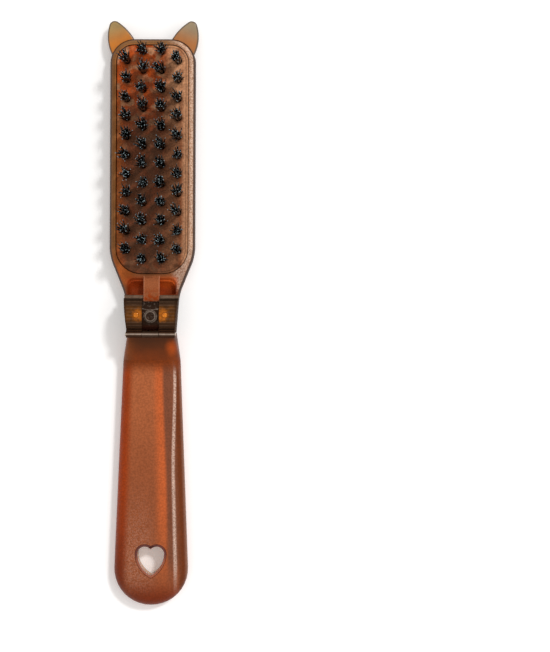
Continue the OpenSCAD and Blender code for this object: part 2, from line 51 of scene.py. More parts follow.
MM = 0.001
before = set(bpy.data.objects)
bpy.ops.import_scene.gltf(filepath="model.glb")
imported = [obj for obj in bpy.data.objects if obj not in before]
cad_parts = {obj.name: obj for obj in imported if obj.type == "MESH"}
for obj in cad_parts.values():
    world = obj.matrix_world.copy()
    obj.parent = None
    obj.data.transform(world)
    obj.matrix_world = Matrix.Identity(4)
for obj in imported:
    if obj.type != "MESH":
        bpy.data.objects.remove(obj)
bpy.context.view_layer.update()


def span(node):
    """The lowest and highest corners of a frame node, in mm."""
    low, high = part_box(node)
    return low / MM, high / MM


HEAD_LOW, HEAD_HIGH = span("head_shell")
PLATE_LOW, PLATE_HIGH = span("bristle_plate")
_, BACK_HIGH = span("handle_back")
FRONT_LOW, FRONT_HIGH = span("handle_front")
_, INSERT_HIGH = span("hinge_insert")
_, CHEEK_HIGH = span("hinge_cheek_right")
BUTTON_LOW, BUTTON_HIGH = span("lock_button")
PIN_LOW, PIN_HIGH = span("hinge_pin")
OUTER_LOW, OUTER_HIGH = span("tufts_outer_right")
INNER_LOW, INNER_HIGH = span("tufts_inner_right")
HEART_LOW, HEART_HIGH = span("heart_grommet")
EAR_LOW, EAR_HIGH = span("ear_right")

PIN = (PIN_LOW + PIN_HIGH) / 2
BUTTON = (BUTTON_LOW + BUTTON_HIGH) / 2
WIDEST_Z = BACK_HIGH.z
RIM_Z = FRONT_HIGH.z

# Tufts: where their columns stand and how far apart
ROWS = 12
INNER_X = (INNER_LOW.x + INNER_HIGH.x) / 2
OUTER_X = (OUTER_LOW.x + OUTER_HIGH.x) / 2
TIP_R = (INNER_HIGH.x - INNER_LOW.x) / 2
PITCH = (INNER_HIGH.y - INNER_LOW.y - 2 * TIP_R) / (ROWS - 1)
INNER_Y = INNER_LOW.y + TIP_R
OUTER_Y = OUTER_LOW.y + TIP_R
FOOT_Z = INNER_LOW.z
COLUMNS = (("outer_left", -OUTER_X, ROWS - 1, OUTER_Y), ("inner_left", -INNER_X, ROWS, INNER_Y),
           ("inner_right", INNER_X, ROWS, INNER_Y), ("outer_right", OUTER_X, ROWS - 1, OUTER_Y))
SOCKET_R, PACK_R = 1.24, 1.0
GOLDEN_ANGLE = 2.39996  # radians, which spreads a tuft's bristles evenly

# Head: corner roundings of the plate, the neck's half widths and the slope of its shoulders
PLATE_HIGH_R, PLATE_LOW_R = 5.85, 8.5
NECK_X, NECK_Y, NECK_END_X = 9.25, 6.4, 8.16
SHOULDER_SLOPE = math.tan(math.radians(67.97))
RIB_HALF, RIB_LOW_Y, RIB_HIGH_Y, RIB_LOW_Z = 2.7, 3.9, 11.7, 3
POCKET_Y = 6.3
SLOT_HALF = 2.95
PLATE_GAP, EAR_GAP = 0.12, 0.06

# Each neck pocket's bowl and the flare of its rim: height, reach across and along, corner
POCKET = (((3.6, 6.5, 8.2, 1.4), (4.0, 7.2, 9.2, 1.7), (4.8, 7.7, 10.2, 2.0), (RIM_Z + 1, 8.3, 11.7, 2.4)),
          ((RIM_Z - 0.7, 7.9, 11.1, 2.2), (RIM_Z + 0.3, 8.7, 12.2, 2.8)))

# Hinge and lock: posts and their bores, the lock block's arch with its raised marks, the middle
# knuckle, the ridges under it, the button and how far it is pressed
POST_X, POST_Y, POST_R, POST_Z = 4.8, -0.75, 0.95, 1.35
BORE_R, BORE_Z, BORE_TOP = 0.98, 1.3, 12
ARCH_Y, ARCH_Z, ARCH_R, MARK_R = -0.75, 5.4, 6.6, 6.72
KNUCKLE_HALF, KNUCKLE_R, PIN_R = 2.7, 1.15, 0.65
RIDGE_HALF, RIDGE_STEP, RIDGE_DROP = 7.65, 0.4, 2.6
BUTTON_R, FLANGE_R, PLUNGER_HOLE_R = 1.8, 2.15, 0.82

# Handle: its outline at the wedge, how far an outline runs past a cut, the insert's foot, the recess
# for the tongue's root, the lean of its sides in radians, and the heart-shaped hole with its liner
WEDGE_Y = FRONT_HIGH.y
END_Y = FRONT_LOW.y + FRONT_HIGH.x
WEDGE_HALF = INSERT_HIGH.x
WEDGE_TOP_HALF, RUN_PAST = 8.1, 1.6
INSERT_FOOT_HALF = 5.3
ROOT_HALF, ROOT_LOW_Y, ROOT_HIGH_Y, ROOT_TOP = 2.7, -11.25, -5, 2.85
LEAN = (math.asin(FRONT_HIGH.x / math.hypot(WEDGE_HALF, WEDGE_Y - END_Y))
        - math.atan(WEDGE_HALF / (WEDGE_Y - END_Y)))
LINER, LINER_GAP = 0.8, 0.04
HEART_W = 2 * (HEART_HIGH.x - LINER)
HEART_H = 9.8
BELOW, ABOVE = -1, 9  # heights that clear the handle and the head's rim


def linear(red, green, blue):
    """A colour given as 0 to 255 on the screen, as the light values that a shader takes."""
    shares = (part / 255 for part in (red, green, blue))
    return tuple(c / 12.92 if c < 0.0404 else ((c + 0.055) / 1.055) ** 2.4 for c in shares)


# Shades that the finishes lay beside the panel's colours, painted light and painted shade among them
AMBER_GLOSS = (*linear(255, 170, 110), 1)
NECK_PALE = linear(206, 116, 48)
STRIP_BROWN = linear(158, 72, 20)
# Painted gloss specks on the rim's right
RIM_GLOSS = linear(206, 174, 152)
LINE_PALE = linear(170, 104, 54)
# Painted gloss on the shoulder's right
SHOULDER_GLOSS = linear(176, 146, 128)
SHOULDER_LEFT = linear(160, 82, 36)
NECK_EDGE = linear(96, 44, 14)
RIB_WARM = linear(150, 58, 14)
RIB_EDGE = linear(190, 130, 100)
# Painted light and painted shade on the pockets' floors
POCKET_LIT = linear(186, 80, 28)
POCKET_CORNER_SHADE = linear(66, 26, 8)
PLATE_LANE = linear(110, 68, 44)
PLATE_LEFT = linear(140, 76, 34)
# Painted gloss along the plate's right margin
PLATE_RIGHT_GLOSS = linear(172, 124, 92)
SOCKET_SHADE = linear(26, 12, 6)
PLATE_LINE = linear(52, 22, 8)
GAP_WARM = linear(150, 78, 40)
GAP_DARK = linear(36, 14, 6)
EAR_BASE_RIGHT = linear(168, 102, 42)
EAR_TIP_RIGHT = linear(150, 130, 100)
EAR_EDGE = linear(80, 62, 42)
# Painted sparkle of the frosted flat, and painted gloss on the rolled border
PAINTED_SPARKLE = linear(196, 150, 130)
BORDER_GLOSS = linear(150, 112, 92)
BACK_SHADE = linear(140, 76, 44)
BACK_ROLL = linear(146, 60, 16)
BACK_SEAM = linear(104, 38, 10)
WEDGE_LEFT = linear(122, 60, 22)
CHEEK_END = linear(66, 28, 8)
# Painted golden light round the rivets
POST_PAINTED_GLOW = linear(178, 98, 24)
CHEEK_EDGE = linear(22, 15, 11)
BLOCK_END = linear(44, 20, 14)
LIP_PALE = linear(146, 76, 46)
LINER_GOLD = linear(190, 132, 70)
BRISTLE_FOOT = linear(24, 15, 11)
GOLD_DEEP = linear(176, 96, 28)
TONGUE_DEEP = linear(150, 84, 18)


def length(name, text, mm, low, high):
    """A length, given in mm and kept in metres."""
    return FloatProperty(name=name, description=text, default=mm * MM, min=low * MM, max=high * MM,
                         unit="LENGTH", precision=5)


def angle(name, text, degrees, low, high):
    """An angle, given in degrees."""
    return FloatProperty(name=name, description=text, default=math.radians(degrees), min=math.radians(low),
                         max=math.radians(high), subtype="ANGLE")


def power(name, text, value, high):
    """The strength of a light."""
    return FloatProperty(name=name, description=text, default=value, min=0, max=high)


def tint(name, text, red, green, blue):
    """A colour, given as 0 to 255 on the screen."""
    return FloatVectorProperty(name=name, description=text, default=linear(red, green, blue),
                               size=3, min=0, max=1, subtype="COLOR")


class HairbrushSizes(bpy.types.PropertyGroup):
    """Sizes of the brush that the frame leaves open."""

    back_roll: length("Back roll", "How far the rounded back edge reaches in", 2.7, 1.5, 3.2)
    rim_roll: length("Rim roll", "How far the rounded edge of the head's rim reaches in", 1.7, 0.8, 2.2)
    front_roll: length("Front roll", "How far the handle's rounded front edge reaches in", 4.4, 2.5, 4.8)
    wall: length("Wall", "Wall of the handle's two shells", 1.6, 1.2, 1.8)
    soft_edge: length("Soft edge", "Width of the small rounding on moulded edges", 0.16, 0.05, 0.4)
    bristle_r: length("Bristle radius", "Radius of one bristle at its foot", 0.22, 0.08, 0.26)
    splay: length("Splay", "How far a tuft's bristles lean out at their tips", 1.3, 0.3, 1.8)
    bristles: IntProperty(name="Bristles", description="Bristles in one tuft", default=42, min=8, max=48)
    seed: IntProperty(name="Seed", description="Changes how the bristles lean", default=7, min=0)


class HairbrushColours(bpy.types.PropertyGroup):
    """Colours of the brush's plastics and metals."""

    # Painted glow: light that would pass through the thin margin of the head's back
    amber_glow: tint("Amber edge", "Bright amber where the plastic is thin", 222, 128, 46)
    amber_back: tint("Amber back", "Frosted back of the head over its thick middle", 150, 88, 50)
    amber_brown: tint("Amber brown", "Outermost edge of the head's back", 138, 72, 26)
    # Painted shade: dark brown laid where the plastic turns away from the light, on the sides and at the neck
    amber_shade: tint("Amber dark", "Brown that the plastic shows where it turns away", 44, 22, 10)
    # One rim plastic, in painted shade on its left and with painted gloss on its right
    rim_shaded_left: tint("Rim, left", "Rim left of the bristle plate", 126, 84, 48)
    rim_lit_right: tint("Rim, right", "Rim right of the bristle plate, pale with gloss", 164, 124, 98)
    rim_top: tint("Rim, top", "Rim above the bristle plate", 128, 90, 56)
    shoulder: tint("Shoulder", "Head between the bristle plate and the neck", 116, 68, 40)
    socket_dot: tint("Socket dots", "Tuft sockets that show through the back", 104, 78, 58)
    pocket_red: tint("Pocket red", "Thin floor of the two neck pockets", 140, 52, 18)
    rib: tint("Rib", "Rib between the neck pockets", 146, 82, 50)
    plate: tint("Plate", "Bristle plate", 128, 64, 30)
    # Painted glow, painted gloss and painted shade of the plate
    plate_lit_patch: tint("Plate glow", "Patches where light comes through the plate", 196, 80, 24)
    plate_gloss: tint("Plate gloss", "Pale patches on the plate's right half", 206, 148, 108)
    plate_shade: tint("Plate shade", "Plate deep between the bristles", 88, 54, 36)
    handle: tint("Handle", "Frosted front of the handle", 136, 72, 42)
    handle_top: tint("Handle, top", "Frosted front of the handle below the wedge", 160, 88, 52)
    handle_end: tint("Handle, end", "Round end of the handle", 104, 34, 8)
    # Painted light and shade across the handle's front: bright strip, shaded borders, brown shade and glint
    handle_lit_strip: tint("Handle strip", "Bright strip along the handle", 182, 88, 44)
    handle_left: tint("Handle edge", "Red amber of the handle's left edge", 144, 50, 4)
    handle_right: tint("Handle border", "Dark border on the handle's right", 92, 38, 8)
    handle_shade: tint("Handle shade", "Brown band between the bright strip and the dark border", 112, 64, 44)
    handle_glint: tint("Handle glint", "Fine pale line of gloss along the handle's right", 200, 170, 154)
    back_handle: tint("Handle back", "Frosted back of the handle", 174, 82, 34)
    # Painted light along one side of the back; below it, painted shade at the hinge
    back_lit_strip: tint("Handle back glow", "Bright strip along the handle's back", 224, 120, 36)
    back_shade: tint("Handle back shade", "Grey brown of the handle's back at the hinge", 96, 68, 52)
    wedge: tint("Wedge", "Thick top of the handle", 66, 28, 6)
    wedge_low: tint("Wedge foot", "Thick top of the handle where it meets the shells", 106, 42, 6)
    # Painted light through one corner of the wedge
    wedge_lit_spot: tint("Wedge spot", "Light that comes through one corner of the wedge", 160, 66, 12)
    ear_base: tint("Ear base", "Ear where it leaves the head", 194, 112, 8)
    ear_tip: tint("Ear tip", "Ear at its tip", 156, 128, 76)
    cheek: tint("Cheek", "Smoky hinge cheeks", 34, 24, 16)
    # Painted glow in the arch, and painted highlight on the feet and in stripes
    cheek_lit_arch: tint("Cheek glow", "Light in the arch of the cheeks", 90, 52, 16)
    cheek_highlight: tint("Cheek foot", "Step at the cheeks' feet", 112, 92, 78)
    gold: tint("Gold", "Rivets and the light round them", 206, 122, 34)
    dark: tint("Dark plastic", "Lock housing and button", 24, 18, 15)
    # Wear, and painted highlight on ridges, raised marks and rims
    wear_and_sheen: tint("Worn edge", "Edges that are rubbed pale", 140, 126, 114)
    tongue: tint("Tongue", "Latch tongue", 178, 108, 18)
    steel: tint("Steel", "Pin, plunger, spring and anchor wires", 176, 160, 146)
    bristle: tint("Bristle", "Black nylon", 9, 13, 13)
    # Painted glints on the cut ends
    bristle_glint: tint("Bristle tip", "Cut ends of the nylon, which catch the light", 150, 172, 178)
    # Painted shade: the dark red laid along the liner's upper lip
    liner: tint("Liner", "Clear liner of the heart-shaped hole", 92, 30, 12)


class HairbrushStage(bpy.types.PropertyGroup):
    """Camera, lamp and table."""

    camera_height: length("Camera height", "Height of the camera over the table", 573.2, 200, 2000)
    camera_x: length("Camera X", "How far right of the brush the camera stands", 41.6, -200, 200)
    camera_y: length("Camera Y", "How far up the brush the camera stands", -4.2, -200, 200)
    view_angle: angle("View angle", "Angle that the picture's height takes in", 21.93, 5, 110)
    camera_turn: angle("Camera turn", "How far the camera is turned about its own axis", 0.24, -30, 30)
    sun_height: angle("Sun height", "Angle of the lamp over the table", 48, 10, 85)
    sun_turn: angle("Sun turn", "Direction that the light comes from, seen from above", 45, -180, 180)
    sun_size: angle("Sun size", "Angle across the lamp, which softens the shadows", 9, 0, 60)
    sun_power: power("Sun power", "Strength of the lamp", 1.28, 6)
    sky_power: power("Sky power", "Strength of the even light", 0.71, 2)
    strip_power: power("Strip power", "Strength of the long lamp on the right, in watts", 0.8, 10)
    table_lift: power("Table lift", "How much lighter the camera sees the table", 0.12, 0.3)
    table: tint("Table", "Colour of the table", 252, 252, 252)


# Shapes, in mm


def only(kind, geom):
    """The vertices, edges or faces among what an operator made."""
    return [made for made in geom if isinstance(made, kind)]


def mesh_of(bm, name):
    """A bmesh written to a new mesh, and freed."""
    mesh = bpy.data.meshes.new(name)
    bm.to_mesh(mesh)
    bm.free()
    return mesh


def set_out(name, data):
    """A new object in the scene."""
    obj = bpy.data.objects.new(name, data)
    bpy.context.scene.collection.objects.link(obj)
    return obj


def outline(corners, z):
    """One flat face at height z. Each corner is x, y and how far from it its rounding starts."""
    bm = bmesh.new()
    verts = [bm.verts.new((x, y, z)) for x, y, _ in corners]
    bm.faces.new(verts)
    for vert, (_, _, cut) in zip(verts, corners):
        if cut:
            bmesh.ops.bevel(bm, geom=[vert], offset=cut, offset_type="OFFSET", segments=10, profile=0.5,
                            affect="VERTICES", material=-1, clamp_overlap=False)
    bmesh.ops.remove_doubles(bm, verts=bm.verts, dist=1e-3)
    face = bm.faces[:][0]
    face.normal_update()
    if face.normal.z < 0:
        bmesh.ops.reverse_faces(bm, faces=[face])
    return bm


def both_sides(right):
    """The corners of the right side, from the top down, and their mirror images."""
    return [(-x, y, cut) for x, y, cut in right] + [(x, y, cut) for x, y, cut in reversed(right)]


def roll_in(bm, face, rise, roll, steps=9):
    """Draws a face in while it rises along its normal, so that its edge turns a quarter round."""
    angles = [math.pi / 2 * k / steps for k in range(steps + 1)]
    even = {"use_even_offset": True, "use_boundary": True}
    for a, b in zip(angles, angles[1:]):
        reach, climb = roll * (math.cos(a) - math.cos(b)), rise * (math.sin(b) - math.sin(a))
        bmesh.ops.inset_region(bm, faces=[face], thickness=reach, depth=climb, **even)
    bmesh.ops.inset_region(bm, faces=[face], thickness=0.12, **even)


def slab(corners, low, low_roll, high, high_roll, widest=None):
    """A flat body with an outline, widest at one height, whose edges roll in to both flat faces."""
    widest = WIDEST_Z if widest is None else widest
    bm = outline(corners, widest)
    top = bm.faces[:][0]
    bottom = only(bmesh.types.BMFace, bmesh.ops.duplicate(bm, geom=bm.faces[:])["geom"])[0]
    bmesh.ops.reverse_faces(bm, faces=[bottom])
    for face, rise, roll in ((top, high - widest, high_roll), (bottom, widest - low, low_roll)):
        if rise > 0:
            roll_in(bm, face, rise, roll)
    bmesh.ops.remove_doubles(bm, verts=bm.verts, dist=1e-4)
    return bm


def raise_up(bm, height):
    """Gives a flat bmesh its thickness, upwards."""
    up = bmesh.ops.extrude_face_region(bm, geom=bm.faces[:])["geom"]
    bmesh.ops.translate(bm, verts=only(bmesh.types.BMVert, up), vec=(0, 0, height))
    bmesh.ops.recalc_face_normals(bm, faces=bm.faces)
    return bm


def prism(corners, low, high):
    """A straight-sided body between two heights."""
    return raise_up(outline(corners, low), high - low)


def block(low, high):
    """A box between two corners."""
    bm = bmesh.new()
    low, high = Vector(low), Vector(high)
    fit = Matrix.Translation((low + high) / 2) @ Matrix.Diagonal((*(high - low), 1))
    bmesh.ops.create_cube(bm, size=1, matrix=fit)
    return bm


def rod(r, start, end, segments=48):
    """A round bar from one point to another."""
    bm = bmesh.new()
    start, end = Vector(start), Vector(end)
    turn = (end - start).to_track_quat("Z", "Y").to_matrix().to_4x4()
    bmesh.ops.create_cone(bm, cap_ends=True, segments=segments, radius1=r, radius2=r,
                          depth=(end - start).length, matrix=Matrix.Translation((start + end) / 2) @ turn)
    return bm


def top_face(bm):
    """The highest face."""
    return max(bm.faces, key=lambda face: face.calc_center_median().z)


def rim_at(bm, z):
    """The edges of a bar's upper end, which lies at height z."""
    return [edge for edge in bm.edges if all(vert.co.z > z - 0.01 for vert in edge.verts)]


def round_off(bm, edges, width):
    """Rounds the edges of a bar's end."""
    bmesh.ops.bevel(bm, geom=edges, offset=width, offset_type="OFFSET", segments=5, profile=0.5,
                    affect="EDGES", material=-1)


def cut_off(bm, point, normal):
    """Takes away what lies beyond a plane, and closes the cut."""
    bmesh.ops.bisect_plane(bm, geom=bm.verts[:] + bm.edges[:] + bm.faces[:], plane_co=point, plane_no=normal,
                           clear_outer=True)
    rims = [e for e in bm.edges if e.is_boundary]
    bmesh.ops.contextual_create(bm, geom=rims)
    return bm


def gather(parts):
    """Several bmeshes as one."""
    whole = bmesh.new()
    for part in parts:
        mesh = mesh_of(part, "part")
        whole.from_mesh(mesh)
        bpy.data.meshes.remove(mesh)
    return whole


def wrap(bm):
    """The smallest body without hollows round a bmesh's vertices."""
    hull = set(bmesh.ops.convex_hull(bm, input=bm.verts)["geom"])
    bmesh.ops.delete(bm, geom=[face for face in bm.faces if face not in hull], context="FACES")
    bmesh.ops.delete(bm, geom=[edge for edge in bm.edges if not edge.link_faces], context="EDGES")
    bmesh.ops.delete(bm, geom=[vert for vert in bm.verts if not vert.link_faces], context="VERTS")
    bmesh.ops.dissolve_limit(bm, angle_limit=math.radians(1), verts=bm.verts, edges=bm.edges)
    bmesh.ops.recalc_face_normals(bm, faces=bm.faces)
    return bm


def combine(bm, other, operation):
    """One bmesh cut by, joined with or kept inside another, by a Boolean modifier."""
    pair = [set_out("work", mesh_of(part, "work")) for part in (bm, other)]
    boolean = pair[0].modifiers.new("combine", "BOOLEAN")
    boolean.operation, boolean.object, boolean.solver = operation, pair[1], "EXACT"
    made = bmesh.new()
    made.from_object(pair[0], bpy.context.evaluated_depsgraph_get())
    for obj in pair:
        mesh = obj.data
        bpy.data.objects.remove(obj)
        bpy.data.meshes.remove(mesh)
    if not made.faces:
        raise RuntimeError("a cut left nothing")
    return made


def carve(bm, *tools):
    """Takes several bmeshes away from one, one after the other."""
    for tool in tools:
        bm = combine(bm, tool, "DIFFERENCE")
    return bm


def cad_copy(node):
    """A frame node's shape in mm, merged, and with its flat faces made whole."""
    bm = bmesh.new()
    bm.from_mesh(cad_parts[node].data)
    bmesh.ops.scale(bm, vec=(1 / MM,) * 3, verts=bm.verts)
    bmesh.ops.remove_doubles(bm, verts=bm.verts, dist=1e-3)
    bmesh.ops.dissolve_limit(bm, angle_limit=math.radians(1), verts=bm.verts, edges=bm.edges)
    return bm


def piece(bm, name, body, material, nodes, soft=0.0, angle=32, segments=3, clamp=True):
    """Makes a bmesh in mm a finished piece in the frame: shaded, softened, riding on its body."""
    bmesh.ops.remove_doubles(bm, verts=bm.verts, dist=5e-4)
    bmesh.ops.scale(bm, vec=(MM,) * 3, verts=bm.verts)
    for face in bm.faces:
        face.smooth = True
    for edge in bm.edges:
        edge.smooth = edge.calc_face_angle(math.pi) < math.radians(angle)
    mesh = mesh_of(bm, name)
    obj = set_out(name, mesh)
    if soft:
        bevel = obj.modifiers.new("Soft edges", "BEVEL")
        bevel.width, bevel.segments, bevel.profile = soft, segments, 0.5
        bevel.limit_method, bevel.angle_limit = "ANGLE", math.radians(angle)
        bevel.harden_normals, bevel.use_clamp_overlap = True, clamp
    mesh.materials.append(material)
    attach(obj, body)
    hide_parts(*nodes)
    return obj


# Finishes


class Finish:
    """A material in the making: its shader, and the object's own coordinates in mm."""

    def __init__(self, name, roughness, **sockets):
        self.material = bpy.data.materials.new(name)
        self.material.use_nodes = True
        self.tree = self.material.node_tree
        self.shader = self.tree.nodes["Principled BSDF"]
        self.shader.inputs["Roughness"].default_value = roughness
        for socket, value in sockets.items():
            self.shader.inputs[socket.replace("_", " ")].default_value = value
        coordinates = self.tree.nodes.new("ShaderNodeTexCoord")
        scaled = self.add("ShaderNodeVectorMath", {0: coordinates.outputs["Object"], 1: (1000, 1000, 1000)},
                          operation="MULTIPLY")
        self.place = scaled.outputs[0]
        self.x, self.y, self.z = self.add("ShaderNodeSeparateXYZ", {0: self.place}).outputs
        self.normal = coordinates.outputs["Normal"]
        self.side = self.math("ABSOLUTE", self.x)

    def add(self, kind, inputs, **settings):
        """A node with its settings, and sockets or values put into its inputs."""
        made = self.tree.nodes.new(kind)
        for key, value in settings.items():
            setattr(made, key, value)
        for key, value in inputs.items():
            if isinstance(value, bpy.types.NodeSocket):
                self.tree.links.new(value, made.inputs[key])
            else:
                made.inputs[key].default_value = value
        return made

    def math(self, operation, *values):
        """One operation on sockets and numbers."""
        return self.add("ShaderNodeMath", dict(enumerate(values)), operation=operation).outputs[0]

    def minus(self, a, b):
        """The first less the second."""
        return self.math("SUBTRACT", a, b)

    def scaled(self, value, by, plus):
        """A value times one number plus another."""
        return self.math("MULTIPLY_ADD", value, by, plus)

    def times(self, *values):
        """The product: where masks overlap, or a mask weakened by a share."""
        whole = values[0]
        for value in values[1:]:
            whole = self.math("MULTIPLY", whole, value)
        return whole

    def either(self, a, b):
        """The stronger of two masks."""
        return self.math("MAXIMUM", a, b)

    def reach(self, across, along):
        """How far two offsets reach together."""
        return self.math("SQRT", self.scaled(along, along, self.times(across, across)))

    def from_spot(self, x, middle_x, half_x, middle_y, half_y):
        """How far a point lies from the middle of an oval spot, where 1 is the oval's edge."""
        along = self.math("DIVIDE", self.minus(self.y, middle_y), half_y)
        across = self.math("DIVIDE", self.minus(x, middle_x), half_x)
        return self.reach(across, along)

    def facing(self):
        """How far the surface faces right, up the brush and up from the table."""
        return self.add("ShaderNodeSeparateXYZ", {0: self.normal}).outputs

    def ramp(self, value, low, high):
        """0 at low and 1 at high, with soft ends."""
        made = self.add("ShaderNodeMapRange", {"Value": value, "From Min": low, "From Max": high},
                        interpolation_type="SMOOTHSTEP")
        return made.outputs["Result"]

    def band(self, value, a, b, c, d):
        """1 between b and c, falling to 0 at a and d."""
        return self.times(self.ramp(value, a, b), self.ramp(value, d, c))

    def lay(self, under, colour, *masks):
        """A colour laid over another where all the masks overlap."""
        return self.mix(self.times(*masks), under, colour)

    def feed(self, socket, value):
        """Puts a value into one of the shader's sockets."""
        self.tree.links.new(value, self.shader.inputs[socket])

    def mix(self, share, a, b):
        """The first colour, and the second where the share is 1."""
        made = self.tree.nodes.new("ShaderNodeMix")
        made.data_type = "RGBA"
        for socket, value in ((made.inputs[0], share), (made.inputs[6], a), (made.inputs[7], b)):
            if isinstance(value, bpy.types.NodeSocket):
                self.tree.links.new(value, socket)
            elif socket.type == "RGBA":
                socket.default_value = (*value[:3], 1)
            else:
                socket.default_value = value
        return made.outputs[2]

    def noise(self, scale, detail=3.0, stretch=None):
        """Noise about scale patterns to the mm, stretched along an axis if asked."""
        place = self.place
        if stretch:
            place = self.add("ShaderNodeMapping", {"Vector": place, "Scale": stretch}).outputs[0]
        made = self.add("ShaderNodeTexNoise", {"Vector": place, "Scale": scale, "Detail": detail,
                                               "Roughness": 0.6})
        return made.outputs["Fac"]

    def paint(self, colour, grain_scale=2.2, grain=0.16, mottle_scale=0.25, mottle=0.2):
        """Puts the colour on, darker and lighter in soft clouds and in a fine grain."""
        cloud = self.ramp(self.noise(mottle_scale, 2.0), 0.3, 0.7)
        speck = self.ramp(self.noise(grain_scale, 2.0), 0.3, 0.7)
        shade = self.math("ADD", self.times(cloud, mottle), self.times(speck, grain))
        level = self.math("ADD", shade, 1 - (mottle + grain) / 2)
        made = self.add("ShaderNodeVectorMath", {0: colour, 3: level}, operation="SCALE")
        self.feed("Base Color", made.outputs[0])

    def emboss(self, height, strength, distance):
        """A bump from a height pattern, distance in mm."""
        bump = self.add("ShaderNodeBump", {"Height": height, "Strength": strength, "Distance": distance * MM})
        self.feed("Normal", bump.outputs[0])

    def frost(self, scale=3.0, strength=0.35, distance=0.05):
        """The fine sand of a frosted mould, which also breaks up the gloss."""
        sand = self.noise(scale, 3.0)
        self.emboss(sand, strength, distance)
        rough = self.shader.inputs["Roughness"].default_value
        level = self.add("ShaderNodeMapRange", {"Value": sand, "From Min": 0.3, "From Max": 0.7,
                                                "To Min": rough * 0.8, "To Max": rough * 1.25})
        self.feed("Roughness", level.outputs[0])


def amber(name, roughness, level, coat=0.0, coat_roughness=0.03):
    """The start of an amber plastic, whose gloss is tinted and which may wear a thin coat."""
    return Finish(name, roughness, Specular_IOR_Level=level, Specular_Tint=AMBER_GLOSS, Coat_Weight=coat,
                  Coat_Roughness=coat_roughness)


def tuft_dots(f, radius, soft):
    """1 at every tuft's socket, seen through the plastic."""
    outer = f.math("GREATER_THAN", f.side, (INNER_X + OUTER_X) / 2)
    across = f.minus(f.side, f.scaled(outer, OUTER_X - INNER_X, INNER_X))
    along = f.math("DIVIDE", f.minus(f.y, f.scaled(outer, OUTER_Y - INNER_Y, INNER_Y)), PITCH)
    step = f.times(f.minus(along, f.math("ROUND", along)), PITCH)
    last = INNER_Y + (ROWS - 1) * PITCH
    inside = f.band(f.y, INNER_Y - 3, INNER_Y - 2, last + 2, last + 3)
    return f.times(f.ramp(f.reach(step, across), radius + soft, radius - soft), inside)


def plate_inset(f):
    """How far inside the bristle plate's outline a point lies, in mm, whatever its height."""
    along = f.minus(f.y, (PLATE_LOW.y + PLATE_HIGH.y) / 2)
    low = f.math("LESS_THAN", along, 0)
    r = f.scaled(low, PLATE_LOW_R - PLATE_HIGH_R, PLATE_HIGH_R)
    across = f.math("ADD", f.minus(f.side, PLATE_HIGH.x), r)
    along = f.math("ADD", f.minus(f.math("ABSOLUTE", along), (PLATE_HIGH.y - PLATE_LOW.y) / 2), r)
    far = f.reach(f.either(across, 0), f.either(along, 0))
    near = f.math("MINIMUM", f.either(across, along), 0)
    return f.minus(f.minus(r, far), near)


